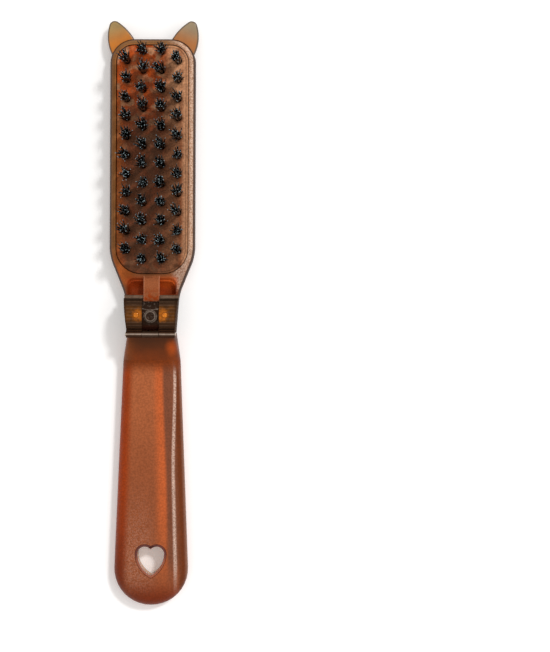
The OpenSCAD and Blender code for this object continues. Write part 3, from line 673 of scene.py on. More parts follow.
def head_plastic(colours):
    """Frosted amber: a painted glow at the thin margins, painted shade where it turns away, dots on the back.
    """
    f = amber("head_amber", 0.45, 0.3, 0.04, 0.25)
    inset = plate_inset(f)
    # The back: a painted glow along the margin, dots, a fine line, and the neck in painted shade with its
    # strip
    back = f.mix(f.ramp(inset, 0.4, -1.0), colours.amber_back, colours.amber_brown)
    back = f.lay(back, colours.amber_glow, f.band(inset, -0.8, 0.4, 2.0, 4.2))
    back = f.lay(back, colours.socket_dot, tuft_dots(f, 1.15, 0.5), 0.75)
    line = f.times(f.band(inset, -0.2, -0.05, 0.05, 0.2), f.ramp(f.y, 24, 19))
    back = f.lay(back, colours.amber_brown, line, 0.6)
    back = f.lay(back, NECK_PALE, f.ramp(f.y, 14.5, 11))
    neck = f.ramp(f.y, 10.5, 4.5)
    strip = f.ramp(f.side, 3.1, 2.4)
    neck_back = f.mix(strip, colours.amber_shade, STRIP_BROWN)
    back = f.lay(back, neck_back, f.either(neck, f.times(strip, f.ramp(f.y, 10.6, 10.0))))
    # The front: the rim round the plate, in painted shade on the left and paler with painted gloss on the
    # right, and the shoulders below it with painted gloss on their right
    speck = f.ramp(f.noise(1.9, 1.0), 0.36, 0.6)
    right = f.mix(speck, colours.rim_lit_right, RIM_GLOSS)
    front = f.mix(f.ramp(f.x, -12.5, 13.0), colours.rim_shaded_left, right)
    high = f.times(f.ramp(f.y, HEAD_HIGH.y - 7, HEAD_HIGH.y - 2), f.ramp(f.x, 10, 4))
    front = f.lay(front, colours.rim_top, high)
    line = f.times(f.band(inset, -0.62, -0.4, -0.3, -0.1), f.ramp(f.y, 20, 26))
    front = f.lay(front, LINE_PALE, line, 0.6)
    low = f.mix(f.times(f.ramp(f.x, 6.0, 9.0), f.scaled(speck, 0.7, 0.3)), colours.shoulder,
                SHOULDER_GLOSS)
    low = f.lay(low, SHOULDER_LEFT, f.ramp(f.x, -4.5, -8.0), f.ramp(f.y, 8, 11.5))
    front = f.lay(front, low, f.ramp(f.y, 24, 13))
    front = f.lay(front, NECK_EDGE, f.ramp(f.y, 8.5, 6.5), f.ramp(f.side, 8.0, 8.6))
    # The rib between the pockets, with paler edges
    warm = f.times(f.ramp(f.y, 9.5, 5), f.ramp(f.noise(0.9, 2.0), 0.4, 0.6))
    rib = f.mix(warm, colours.rib, RIB_WARM)
    rib = f.lay(rib, RIB_EDGE, f.ramp(f.side, 2.3, 2.5), 0.5)
    front = f.lay(front, rib, f.ramp(f.side, 2.8, 2.72), f.ramp(f.y, 12.9, 12.0))
    # Painted shade on the neck's front beside the cheeks
    front = f.lay(front, colours.amber_shade, f.ramp(f.y, 6.35, 6.15), f.ramp(f.side, 2.75, 2.85))
    # Painted shade on the head's sides, from just above the back
    colour = f.mix(f.ramp(f.z, 0.5, 2.2), back, colours.amber_shade)
    top = f.ramp(f.scaled(f.ramp(inset, -1.2, -0.6), 0.9, f.z), 5.6, 6.15)
    colour = f.lay(colour, front, top)
    # The pockets' floors, with painted light brightest at the upper right and painted shade in the lower
    # corner
    pocket = f.times(f.ramp(f.side, 9.6, 7.4), f.ramp(f.side, 2.6, 2.75), f.ramp(f.z, 3.3, 3.5),
                    f.ramp(f.y, 13.2, 10.6), f.ramp(f.y, 6.0, 6.2))
    glow = f.mix(f.times(f.ramp(f.x, -2, 6), f.ramp(f.y, 7.6, 10.4)), colours.pocket_red, POCKET_LIT)
    corner = f.times(f.ramp(f.minus(f.side, f.y), -3.6, 0.6), f.ramp(f.y, 10.5, 8.5))
    glow = f.lay(glow, POCKET_CORNER_SHADE, corner, 0.4)
    colour = f.lay(colour, glow, pocket)
    f.paint(colour, grain=0.3, mottle=0.18)
    f.frost(strength=0.5, distance=0.07)
    return f.material


def plate_plastic(colours):
    """Brown textured plate: a painted glow between the bristles, painted gloss on the right, painted shade
    round the tufts.
    """
    f = amber("plate_brown", 0.42, 0.3, 0.12, 0.25)
    inset = plate_inset(f)
    warp = f.noise(0.9, 2.0)
    rise = f.ramp(f.y, 56, 86)
    patch = f.ramp(f.scaled(warp, 0.2, f.noise(0.3, 1.0)), 0.46, 0.7)
    # Painted shade in the middle of the plate, between the bristles
    deep = f.times(f.ramp(f.side, 10.8, 8.0), f.ramp(f.y, 84, 70))
    colour = f.mix(deep, colours.plate, colours.plate_shade)
    colour = f.lay(colour, PLATE_LANE, f.ramp(f.x, 2.5, 6.0), f.ramp(f.x, 9.5, 7.0))
    colour = f.lay(colour, PLATE_LEFT, f.ramp(f.x, -9.6, -11.0), f.ramp(f.y, 14, 26))
    # Painted gloss along the right margin
    colour = f.lay(colour, PLATE_RIGHT_GLOSS, f.ramp(f.x, 9.3, 11.0))
    # Painted glow and painted gloss in patches, strongest towards the top
    top = f.mix(f.ramp(f.noise(0.42, 0.0), 0.48, 0.72), colours.plate_lit_patch, colours.plate_gloss)
    glow = f.mix(f.ramp(f.x, 2.0, 7.0), top, colours.plate_gloss)
    colour = f.lay(colour, glow, patch, f.scaled(rise, 0.8, 0.12))
    colour = f.lay(colour, glow, rise, 0.35)
    colour = f.lay(colour, SOCKET_SHADE, tuft_dots(f, 1.6, 0.6), 0.6)
    line = f.times(f.band(inset, 0.72, 0.82, 0.92, 1.02), f.ramp(f.x, -9, 4))
    colour = f.lay(colour, PLATE_LINE, line, 0.6)
    dark = f.either(f.ramp(f.x, -11, 2), f.ramp(f.y, 26, 17))
    gap = f.mix(dark, GAP_WARM, GAP_DARK)
    colour = f.lay(colour, gap, f.ramp(f.z, PLATE_HIGH.z - 0.12, PLATE_HIGH.z - 0.5))
    f.paint(colour, grain_scale=1.5, grain=0.5, mottle_scale=0.5, mottle=0.24)
    f.frost(scale=1.5, strength=0.9, distance=0.18)
    return f.material


def ear_plastic(colours):
    """Clear ears, orange at the foot and olive grey at the tip, with a darker edge."""
    f = Finish("ear_amber", 0.28, Specular_IOR_Level=0.35, Coat_Weight=0.25, Coat_Roughness=0.15)
    rise = f.ramp(f.scaled(f.side, 0.35, f.y), EAR_HIGH.y - 4.0, EAR_HIGH.y + 3.2)
    foot = f.mix(f.ramp(f.x, -2, 2), colours.ear_base, EAR_BASE_RIGHT)
    tip = f.mix(f.ramp(f.x, -2, 2), colours.ear_tip, EAR_TIP_RIGHT)
    colour = f.mix(rise, foot, tip)
    _, _, up = f.facing()
    edge = f.ramp(f.math("ABSOLUTE", up), 0.995, 0.92)
    colour = f.lay(colour, EAR_EDGE, edge, 0.9)
    f.paint(colour, grain=0.06, mottle=0.14)
    f.emboss(f.noise(0.8, 1.0), 0.1, 0.05)
    return f.material


def handle_field(f):
    """0 in the middle of the handle, and -1 and 1 at its sides, whatever the taper."""
    half = f.scaled(f.y, -math.tan(LEAN), WEDGE_HALF + WEDGE_Y * math.tan(LEAN))
    return f.math("DIVIDE", f.x, f.math("MINIMUM", half, FRONT_HIGH.x))


def handle_front_plastic(colours):
    """Frosted front: pale painted sparkle on the flat, a painted bright strip, a painted brown shade with a
    painted glint, and rolled borders in painted shade and gloss.
    """
    f = amber("handle_front_amber", 0.4, 0.3, 0.12, 0.2)
    u = handle_field(f)
    low = f.ramp(f.y, WEDGE_Y - 6, WEDGE_Y - 46)
    fade = f.ramp(f.y, -96, -82)
    sparkle = f.ramp(f.noise(2.6, 1.0), 0.4, 0.62)
    flat = f.mix(low, colours.handle_top, colours.handle)
    # Pale painted sparkle on the flat
    sanded = f.times(sparkle, f.ramp(f.y, -52, -84), f.ramp(u, 0.3, -0.3), 0.26)
    flat = f.lay(flat, PAINTED_SPARKLE, sanded)
    flat = f.lay(flat, colours.handle_end, f.ramp(f.y, -88, -97))
    # Painted shade on the left rolled edge, which turns to the end's colour towards the end
    left = f.mix(f.ramp(f.y, -58, -92), colours.handle_left, colours.handle_end)
    flat = f.lay(flat, left, f.ramp(u, -0.56, -0.82))
    drift = f.scaled(low, -0.07, u)
    bright = f.scaled(f.ramp(f.y, -64, -82), -0.6, 1)
    # Painted strip of light, then the painted brown shade beside it
    flat = f.lay(flat, colours.handle_lit_strip, f.ramp(drift, 0.0, 0.27), fade, bright)
    flat = f.lay(flat, colours.handle_shade, f.ramp(drift, 0.33, 0.45), fade)
    # Painted shade on the right border, and painted gloss at its edge
    border = f.times(f.ramp(u, 0.72, 0.82), f.ramp(f.y, WEDGE_Y, WEDGE_Y - 5))
    flat = f.lay(flat, colours.handle_right, border)
    flat = f.lay(flat, BORDER_GLOSS, f.ramp(u, 0.9, 1.0), 0.5)
    line = f.scaled(f.ramp(f.y, WEDGE_Y - 40, WEDGE_Y - 2), -0.13, u)
    # Painted glint along the right
    glint = f.times(f.band(line, 0.595, 0.655, 0.68, 0.74), f.ramp(f.y, WEDGE_Y, WEDGE_Y - 6), fade,
                   f.scaled(f.ramp(f.noise(2.2, 1.0), 0.38, 0.56), 0.6, 0.4))
    flat = f.lay(flat, colours.handle_glint, glint)
    colour = f.mix(f.ramp(f.y, WEDGE_Y - 5.5, WEDGE_Y), flat, colours.wedge_low)
    # Painted shade on the side below the front
    colour = f.lay(colour, colours.amber_shade, f.ramp(f.z, WIDEST_Z + 0.5, WIDEST_Z - 0.4))
    f.paint(colour, grain_scale=1.6, grain=0.34, mottle_scale=0.12, mottle=0.08)
    f.frost(scale=2.0, strength=0.7, distance=0.1)
    return f.material


def handle_back_plastic(colours):
    """Frosted back: orange brown, with painted light along one side and dark grey painted shade next to the
    hinge.
    """
    f = amber("handle_back_amber", 0.4, 0.35, 0.15, 0.28)
    u = handle_field(f)
    along = f.ramp(f.y, -72, -48)
    # Painted strip of light along one side
    strip = f.times(f.band(u, -0.82, -0.74, -0.46, -0.3), along)
    colour = f.mix(strip, colours.back_handle, colours.back_lit_strip)
    # Painted shade band, and grey painted shade at the hinge
    colour = f.lay(colour, BACK_SHADE, f.band(u, -0.4, -0.24, -0.16, 0.1), f.times(along, 0.7))
    colour = f.lay(colour, colours.back_shade, f.ramp(f.y, -21.5, -19))
    colour = f.lay(colour, BACK_ROLL, f.ramp(f.z, 0.3, 1.9))
    colour = f.lay(colour, BACK_SEAM, f.ramp(f.z, WIDEST_Z - 1.0, WIDEST_Z))
    f.paint(colour, grain_scale=1.5, grain=0.34, mottle_scale=0.12, mottle=0.14)
    f.frost(scale=2.0, strength=0.6, distance=0.09)
    return f.material


def insert_plastic(colours):
    """The thick top of the handle: nearly black brown, with a painted spot of light in one corner and a
    painted highlight along the knuckle's top.
    """
    f = amber("insert_amber", 0.36, 0.35, 0.15, 0.22)
    colour = f.mix(f.ramp(f.y, WEDGE_Y + 6, WEDGE_Y), colours.wedge, colours.wedge_low)
    colour = f.lay(colour, WEDGE_LEFT, f.ramp(f.x, -4.6, -8.8), 0.8)
    # Painted spot of light in one corner
    far = f.from_spot(f.x, 6.8, 2.2, WEDGE_Y + 4.2, 2.9)
    colour = f.lay(colour, colours.wedge_lit_spot, f.ramp(far, 1.3, 0.1))
    # Painted highlight along the top of the knuckle
    top = f.mix(f.ramp(f.z, PIN.z + 1.1, PIN.z + 1.14), colours.cheek, colours.wear_and_sheen)
    colour = f.lay(colour, top, f.ramp(f.z, PIN.z - 1.6, PIN.z - 1.1))
    f.paint(colour, grain=0.2, mottle=0.24)
    f.frost(strength=0.3)
    return f.material


def cheek_plastic(colours):
    """Smoky arches, with a painted glow on top of the barrel, painted golden light round the rivets, painted
    reflection stripes, and a pale foot and knuckle ridge of painted highlight.
    """
    f = amber("cheek_smoke", 0.28, 0.35)
    cloud = f.ramp(f.noise(0.7, 3.0), 0.38, 0.62)
    # Painted glow on top of the barrel
    warm = f.times(f.band(f.y, -3.9, -1.6, 1.2, 3.2), f.scaled(cloud, 0.6, 0.4))
    colour = f.mix(warm, colours.cheek, colours.cheek_lit_arch)
    colour = f.lay(colour, CHEEK_END, f.ramp(f.y, -4.6, -5.8), 0.6)
    # Painted reflection in fine stripes
    stripe = f.math("SINE", f.times(f.y, 5.5))
    colour = f.lay(colour, colours.cheek_highlight, f.ramp(stripe, 0.3, 1.0), 0.22)
    # Painted golden light round the rivets
    far = f.scaled(f.noise(0.9, 2.0), 0.9, f.from_spot(f.side, 4.0, 2.3, POST_Y, 2.5))
    colour = f.lay(colour, POST_PAINTED_GLOW, f.ramp(far, 1.55, 0.75), f.scaled(cloud, 0.35, 0.55))
    edge = f.either(f.ramp(f.side, CHEEK_HIGH.x - 1.6, CHEEK_HIGH.x - 0.5), f.ramp(f.y, -3.4, -5.4))
    colour = f.lay(colour, CHEEK_EDGE, edge, 0.85)
    # Painted highlight along the cheeks' feet
    foot = f.times(f.ramp(f.y, 4.9, 5.05), f.ramp(f.y, 6.02, 5.8))
    colour = f.lay(colour, colours.cheek_highlight, foot)
    # Painted highlight along the knuckle's ridge
    ridge = f.times(f.ramp(f.z, PIN.z + 1.1, PIN.z + 1.14), f.ramp(f.y, -6.4, -6.6))
    colour = f.lay(colour, colours.wear_and_sheen, ridge)
    f.paint(colour, grain=0.2, mottle=0.4, mottle_scale=0.6)
    f.emboss(f.noise(1.1, 2.0), 0.2, 0.06)
    wall, _, _ = f.facing()
    dull = f.scaled(f.ramp(f.math("ABSOLUTE", wall), 0.6, 0.9), 0.65, 0.28)
    f.feed("Roughness", dull)
    return f.material


def housing_plastic(colours):
    """Near-black block with a matt, slightly scuffed skin, rubbed pale on its marks, whose raised tops also
    carry a painted highlight.
    """
    f = amber("housing_dark", 0.5, 0.2)
    scuff = f.ramp(f.noise(1.1, 4.0), 0.5, 0.7)
    colour = f.mix(f.times(scuff, 0.16), colours.dark, colours.wear_and_sheen)
    colour = f.lay(colour, BLOCK_END, f.ramp(f.y, -3.6, -4.6))
    along = f.minus(f.y, ARCH_Y)
    arch = f.math("SQRT", f.minus(ARCH_R ** 2, f.times(along, along)))
    # The marks' raised tops painted pale: wear and a painted highlight
    marks = f.ramp(f.minus(f.z, arch), ARCH_Z + 0.04, ARCH_Z + 0.1)
    rubbed = f.times(marks, f.scaled(scuff, 0.5, 0.35))
    colour = f.lay(colour, colours.wear_and_sheen, rubbed)
    f.paint(colour, grain=0.5, mottle=0.4)
    f.frost(scale=1.6, strength=0.5, distance=0.08)
    return f.material


def button_plastic(colours):
    """Satin dark button whose rim is painted pale, as wear and as a painted highlight."""
    f = amber("button_dark", 0.4, 0.2)
    far = f.from_spot(f.x, 0, 1, BUTTON.y, 1)
    # The rim painted pale: wear and a painted highlight
    rim = f.times(f.ramp(far, 1.3, 1.55), f.ramp(f.z, BUTTON_HIGH.z - 0.45, BUTTON_HIGH.z - 0.15))
    colour = f.mix(f.times(f.ramp(f.noise(1.6, 3.0), 0.5, 0.7), 0.2), colours.dark, colours.wear_and_sheen)
    colour = f.lay(colour, colours.wear_and_sheen, rim, 0.5)
    f.paint(colour, grain=0.4, mottle=0.3)
    f.frost(scale=2.4, strength=0.3)
    return f.material


def clear_gold(name, colour, deep):
    """Clear golden plastic, deeper in soft clouds."""
    f = amber(name, 0.2, 0.4, 0.1, 0.06)
    clouded = f.mix(f.ramp(f.noise(1.2, 2.0), 0.4, 0.62), colour, deep)
    f.paint(clouded, grain=0.2, mottle=0.3, mottle_scale=0.9)
    f.emboss(f.noise(1.1, 1.0), 0.25, 0.08)
    return f.material


def liner_plastic(colours):
    """The liner of the hang hole: dark red painted shade along its upper lip, golden lower down inside."""
    f = Finish("grommet_amber", 0.25, Specular_IOR_Level=0.35, Coat_Weight=0.25, Coat_Roughness=0.12)
    # Painted shade along the upper lip
    lip = f.mix(f.ramp(f.y, HEART_HIGH.y - 6.5, HEART_HIGH.y - 3), LIP_PALE, colours.liner)
    colour = f.mix(f.ramp(f.z, HEART_LOW.z + 3.4, HEART_HIGH.z - 0.6), LINER_GOLD, lip)
    f.paint(colour, grain=0.2, mottle=0.25)
    f.emboss(f.noise(1.0, 1.0), 0.15, 0.05)
    return f.material


def steel(name, colour, roughness, stretch):
    """Drawn steel: fine lines along one axis and a few dull spots."""
    f = Finish(name, roughness, Metallic=1.0)
    lines = f.noise(3.0, 3.0, stretch)
    shade = f.mix(f.ramp(lines, 0.35, 0.7), colour, tuple(c * 0.62 for c in colour[:3]))
    f.paint(shade, grain=0.1, mottle=0.2)
    f.emboss(lines, 0.2, 0.03)
    return f.material


def bristle_nylon(colours):
    """Black nylon with a cool gloss, browner near the plate, and with painted glints at some of its cut ends.
    """
    f = Finish("bristle_black", 0.26, Specular_IOR_Level=0.35)
    colour = f.mix(f.ramp(f.z, PLATE_HIGH.z, PLATE_HIGH.z + 3.5), BRISTLE_FOOT, colours.bristle)
    _, _, up = f.facing()
    # Painted glints on the upward cut ends of the tallest bristles
    glint = f.times(f.ramp(f.z, INNER_HIGH.z - 2.4, INNER_HIGH.z - 0.8), f.ramp(up, 0.55, 0.85),
                   f.ramp(f.noise(1.5, 1.0), 0.53, 0.6))
    colour = f.lay(colour, colours.bristle_glint, glint, 0.7)
    f.paint(colour, grain=0.4, mottle=0.3, mottle_scale=0.8)
    f.emboss(f.noise(2.0, 1.0, (1, 1, 0.1)), 0.2, 0.03)
    return f.material


# Pieces


def head_corners():
    """The head's outline, run past the parting face."""
    shoulder = NECK_Y + (HEAD_HIGH.x - NECK_X) * SHOULDER_SLOPE
    return both_sides([(HEAD_HIGH.x, HEAD_HIGH.y, 8.2), (HEAD_HIGH.x, shoulder, 2.9), (NECK_X, NECK_Y, 2.2),
                       (NECK_END_X, HEAD_LOW.y - 1.2, 0)])


def plate_corners(grow=0.0):
    """The bristle plate's outline, grown all round."""
    return both_sides([(PLATE_HIGH.x + grow, PLATE_HIGH.y + grow, PLATE_HIGH_R + grow),
                       (PLATE_HIGH.x + grow, PLATE_LOW.y - grow, PLATE_LOW_R + grow)])


def handle_corners(inset=0.0, top=None):
    """The handle's outline, drawn in by an inset and run past the parting face."""
    half = WEDGE_HALF - inset / math.cos(LEAN)
    corner = (FRONT_HIGH.x - inset) * math.tan(math.radians(45) + LEAN / 2)
    foot = (corner, END_Y - FRONT_HIGH.x + inset, corner)
    if top is not None:
        return both_sides([(half + math.tan(LEAN) * (WEDGE_Y - top), top, 0), foot])
    return both_sides([(WEDGE_TOP_HALF - inset, BACK_HIGH.y + RUN_PAST, 0), (half, WEDGE_Y, 1.5), foot])


def heart(grow, low, high):
    """A heart-shaped body, grown all round: a lobe and a bowed side spun from a vertex, then mirrored."""
    lobe, bow = 0.28 * HEART_W, 0.95 * HEART_W
    centre = Vector((HEART_W / 2 - lobe, HEART_HIGH.y - LINER - lobe, low))
    tip = Vector((0, centre.y + lobe - HEART_H, low))
    way = (tip - centre).normalized()
    reach = (tip - centre).length
    along = ((bow - lobe) ** 2 - bow ** 2 + reach ** 2) / (2 * reach)
    aside = math.sqrt((bow - lobe) ** 2 - along ** 2)
    middle = centre + way * along + Vector((way.y, -way.x, 0)) * aside
    start = math.pi - math.acos(centre.x / (lobe + grow))
    turn = math.atan2(centre.y - middle.y, centre.x - middle.x)
    end = -math.acos(-middle.x / (bow + grow))
    bm = bmesh.new()
    first = bm.verts.new(centre + (lobe + grow) * Vector((math.cos(start), math.sin(start), 0)))
    bmesh.ops.spin(bm, geom=[first], cent=centre, axis=(0, 0, 1), angle=turn - start, steps=28)
    bm.verts.ensure_lookup_table()
    bmesh.ops.spin(bm, geom=[bm.verts[-1]], cent=middle, axis=(0, 0, 1), angle=end - turn, steps=16)
    bmesh.ops.mirror(bm, geom=bm.verts[:] + bm.edges[:], axis="X", merge_dist=1e-4)
    bmesh.ops.remove_doubles(bm, verts=bm.verts, dist=1e-3)
    bmesh.ops.contextual_create(bm, geom=bm.edges[:])
    return raise_up(bm, high - low)


class PieceOperator(bpy.types.Operator):
    """Shared ways in to the sizes and the colours."""

    bl_options = {"REGISTER", "UNDO"}

    @property
    def sizes(self):
        """The brush's sizes, in metres."""
        return bpy.context.scene.hairbrush_sizes

    @property
    def colours(self):
        """The brush's colours."""
        return bpy.context.scene.hairbrush_colours


class HAIRBRUSH_OT_head(PieceOperator):
    """Build the head's back shell with its rim, pockets, rib and slots"""

    bl_idname = "hairbrush.head"
    bl_label = "Head shell"

    def execute(self, context):
        s = self.sizes
        bm = slab(head_corners(), 0, s.back_roll / MM, RIM_Z, s.rim_roll / MM)
        cut_off(bm, (0, HEAD_LOW.y, 0), (0, -1, 0))
        rib = block((-RIB_HALF, RIB_LOW_Y, RIB_LOW_Z), (RIB_HALF, RIB_HIGH_Y, HEAD_HIGH.z))
        bm = combine(bm, rib, "UNION")
        pockets = [self.pocket(side, slices) for side in (-1, 1) for slices in POCKET]
        slots = [prism(ear_corners(side, EAR_GAP), EAR_LOW.z - 0.05, EAR_HIGH.z + 0.05) for side in (-1, 1)]
        tongue_slot = block((-SLOT_HALF, HEAD_LOW.y - 2, -2), (SLOT_HALF, -0.4, 3.6))
        bores = [rod(BORE_R, (x, y, low), (x, y, BORE_TOP), 24) for x, y, low in
                 ((0, BUTTON.y, 2), (POST_X, POST_Y, BORE_Z), (-POST_X, POST_Y, BORE_Z))]
        seat = prism(plate_corners(PLATE_GAP), PLATE_LOW.z, ABOVE)
        bm = carve(bm, seat, *pockets, gather(slots), tongue_slot, gather(bores))
        piece(bm, "head_back_shell", "head", head_plastic(self.colours), ["head_shell"],
              s.soft_edge)
        return {"FINISHED"}

    def pocket(self, side, slices):
        """Part of what a neck pocket takes away, straight along the rib and the neck's lower edge."""
        parts = []
        for z, x, y, cut in slices:
            corners = [(RIB_HALF, POCKET_Y, 0), (x, POCKET_Y, 0), (x, y, cut), (RIB_HALF, y, 0)]
            parts.append(outline([(side * x, y, cut) for x, y, cut in corners], z))
        return wrap(gather(parts))


def ear_corners(side, grow=0.0):
    """An ear's outline and its root inside the head, as few corners with wide roundings."""
    top, out, head = EAR_HIGH.y, EAR_HIGH.x, HEAD_HIGH.y
    corners = [(6.4 - grow, head - 0.4, 0), (11.2, top + 0.9 + grow, 2.6),
               (out - 0.4 + grow, top - 0.2 + grow, 1.9), (out + grow, head - 4, 3.4),
               (14.3 + grow, 86.4, 1.0), (11.5, 85.4, 0)]
    return [(side * x, y, cut) for x, y, cut in corners]


class HAIRBRUSH_OT_plate(PieceOperator):
    """Build the bristle plate with its step and its sockets"""

    bl_idname = "hairbrush.plate"
    bl_label = "Bristle plate"

    def execute(self, context):
        step = 0.45
        bm = raise_up(outline(plate_corners(), PLATE_LOW.z), PLATE_HIGH.z - step - PLATE_LOW.z)
        roll_in(bm, top_face(bm), step, step, 4)
        sockets = []
        for _, x, rows, first in COLUMNS:
            for row in range(rows):
                at = (x, first + row * PITCH)
                sockets.append(rod(SOCKET_R, (*at, FOOT_Z - 1), (*at, PLATE_HIGH.z + 1), 24))
        bm = carve(bm, gather(sockets))
        piece(bm, "bristle_pad", "head", plate_plastic(self.colours), ["bristle_plate"],
              self.sizes.soft_edge * 0.6)
        return {"FINISHED"}


class HAIRBRUSH_OT_ears(PieceOperator):
    """Build the two ear plates with rounded edges"""

    bl_idname = "hairbrush.ears"
    bl_label = "Ears"

    def execute(self, context):
        finish = ear_plastic(self.colours)
        for side in ("left", "right"):
            bm = cad_copy(f"ear_{side}")
            piece(bm, f"ear_plate_{side}", "head", finish, [f"ear_{side}"], 0.7 * MM, 40, 5,
                  clamp=False)
        return {"FINISHED"}


class HAIRBRUSH_OT_bristles(PieceOperator):
    """Build the four columns of nylon tufts, bristle by bristle"""

    bl_idname = "hairbrush.bristles"
    bl_label = "Bristles"

    def execute(self, context):
        finish = bristle_nylon(self.colours)
        dice = random.Random(self.sizes.seed)
        for name, x, rows, first in COLUMNS:
            bm = self.column(x, rows, first, dice)
            piece(bm, f"bristles_{name}", "head", finish, [f"tufts_{name}"], angle=80)
        return {"FINISHED"}

    def column(self, x, rows, first, dice):
        """One column: every bristle is a copy of one tapered strand, bent and set in its socket."""
        strand = self.strand()
        bm = bmesh.new()
        for row in range(rows):
            lean = Vector((dice.gauss(0, 0.28), dice.gauss(0.35, 0.3), 0))
            for k in range(self.sizes.bristles):
                out = PACK_R * math.sqrt((k + 0.5) / self.sizes.bristles)
                turn = k * GOLDEN_ANGLE + dice.uniform(-0.3, 0.3)
                way = Vector((math.cos(turn), math.sin(turn), 0))
                splay = way * (self.sizes.splay / MM * out * dice.uniform(0.3, 1.25)) + lean
                splay += Vector((dice.gauss(0, 0.2), dice.gauss(0, 0.2), 0))
                tall = INNER_HIGH.z - PLATE_HIGH.z - abs(dice.gauss(0, 0.45)) - 0.25 * out
                foot = Vector((x, first + row * PITCH, 0)) + way * out
                known = len(bm.verts)
                bm.from_mesh(strand)
                bm.verts.ensure_lookup_table()
                for vert in bm.verts[known:]:
                    up = vert.co.z
                    bend = max(up, 0) ** 1.35
                    z = PLATE_HIGH.z + (up * tall if up > 0 else up * (PLATE_HIGH.z - FOOT_Z - 0.05))
                    vert.co = foot + Vector((vert.co.x, vert.co.y, z)) + splay * bend
        bpy.data.meshes.remove(strand)
        return bm

    def strand(self):
        """One strand from -1 at its foot to 1 at its tip, in a few rings."""
        r = self.sizes.bristle_r / MM
        bm = bmesh.new()
        bmesh.ops.create_circle(bm, segments=5, radius=r, matrix=Matrix.Translation((0, 0, -1)))
        rim = bm.edges[:]
        for height, width in ((0, 1), (0.5, 0.95), (1, 0.72)):
            made = bmesh.ops.extrude_edge_only(bm, edges=rim)["geom"]
            rim = only(bmesh.types.BMEdge, made)
            for vert in only(bmesh.types.BMVert, made):
                flat = vert.co.xy.normalized() * r * width
                vert.co = (*flat, height)
        bmesh.ops.contextual_create(bm, geom=rim)
        bmesh.ops.contextual_create(bm, geom=[e for e in bm.edges if e.is_boundary])
        bmesh.ops.recalc_face_normals(bm, faces=bm.faces)
        return mesh_of(bm, "strand")


class HAIRBRUSH_OT_cheeks(PieceOperator):
    """Build the two arched cheeks with their grooves, and the posts that hold them"""

    bl_idname = "hairbrush.cheeks"
    bl_label = "Hinge cheeks"

    def execute(self, context):
        finish = cheek_plastic(self.colours)
        for side, name in ((-1, "left"), (1, "right")):
            grooves = [rod(r, (side * 1, y, z), (side * 12, y, z), 20) for r, y, z in
                       ((0.42, 3.75, 11.5), (0.3, -4.9, 11.8))]
            bm = carve(cad_copy(f"hinge_cheek_{name}"), gather(grooves))
            piece(bm, f"cheek_{name}", "head", finish, [f"hinge_cheek_{name}"], 0.2 * MM, 30)
        posts = []
        for x in (-POST_X, POST_X):
            post = rod(POST_R, (x, POST_Y, POST_Z), (x, POST_Y, CHEEK_HIGH.z))
            round_off(post, rim_at(post, CHEEK_HIGH.z), 0.35)
            posts.append(post)
        piece(gather(posts), "cheek_posts", "head",
              clear_gold("rivet_gold", self.colours.gold, GOLD_DEEP), ["cheek_rivets"])
        return {"FINISHED"}


class HAIRBRUSH_OT_lock(PieceOperator):
    """Build the lock housing with its raised marks, and the push button"""

    bl_idname = "hairbrush.lock"
    bl_label = "Lock housing and button"

    def execute(self, context):
        y, low, top = BUTTON.y, BUTTON_LOW.z, BUTTON_HIGH.z
        bm = cad_copy("lock_housing")
        arms = prism([(-2.75, 1.5, 0), (-2.75, 1.2, 0), (0, 0.72, 0.2), (2.75, 1.2, 0), (2.75, 1.5, 0),
                      (0, 1.02, 0.2)], 10, 13)
        ring = carve(rod(2.2, (0, y, 10), (0, y, 13)), rod(1.92, (0, y, 9), (0, y, 14)))
        for marks in (arms, ring):
            over = rod(MARK_R, (-2.8, ARCH_Y, ARCH_Z), (2.8, ARCH_Y, ARCH_Z), 128)
            bm = combine(bm, combine(marks, over, "INTERSECT"), "UNION")
        piece(bm, "lock_block", "head", housing_plastic(self.colours), ["lock_housing"],
              0.08 * MM, 35, 2)
        button = rod(BUTTON_R, (0, y, low), (0, y, top), 64)
        round_off(button, rim_at(button, top), 0.28)
        face = top_face(button)
        bmesh.ops.inset_region(button, faces=[face], thickness=0.15, use_even_offset=True)
        roll_in(button, face, -0.16, 0.9, 5)
        button = combine(button, rod(FLANGE_R, (0, y, low), (0, y, low + 0.7)), "UNION")
        button = carve(button, rod(PLUNGER_HOLE_R, (0, y, 8), (0, y, low + 0.5), 24))
        piece(button, "push_button", "button", button_plastic(self.colours), ["lock_button"])
        return {"FINISHED"}


class HAIRBRUSH_OT_pin(PieceOperator):
    """Build the hinge pin with its domed ends"""

    bl_idname = "hairbrush.pin"
    bl_label = "Hinge pin"

    def execute(self, context):
        bm = rod(PIN_HIGH.z - PIN.z, (PIN_LOW.x, PIN.y, PIN.z), (PIN_HIGH.x, PIN.y, PIN.z))
        ends = [e for e in bm.edges if abs(e.verts[0].co.x - e.verts[1].co.x) < 0.01]
        round_off(bm, ends, 0.25)
        finish = steel("pin_steel", self.colours.steel, 0.3, (0.15, 1, 1))
        piece(bm, "hinge_rod", "handle", finish, ["hinge_pin"])
        return {"FINISHED"}


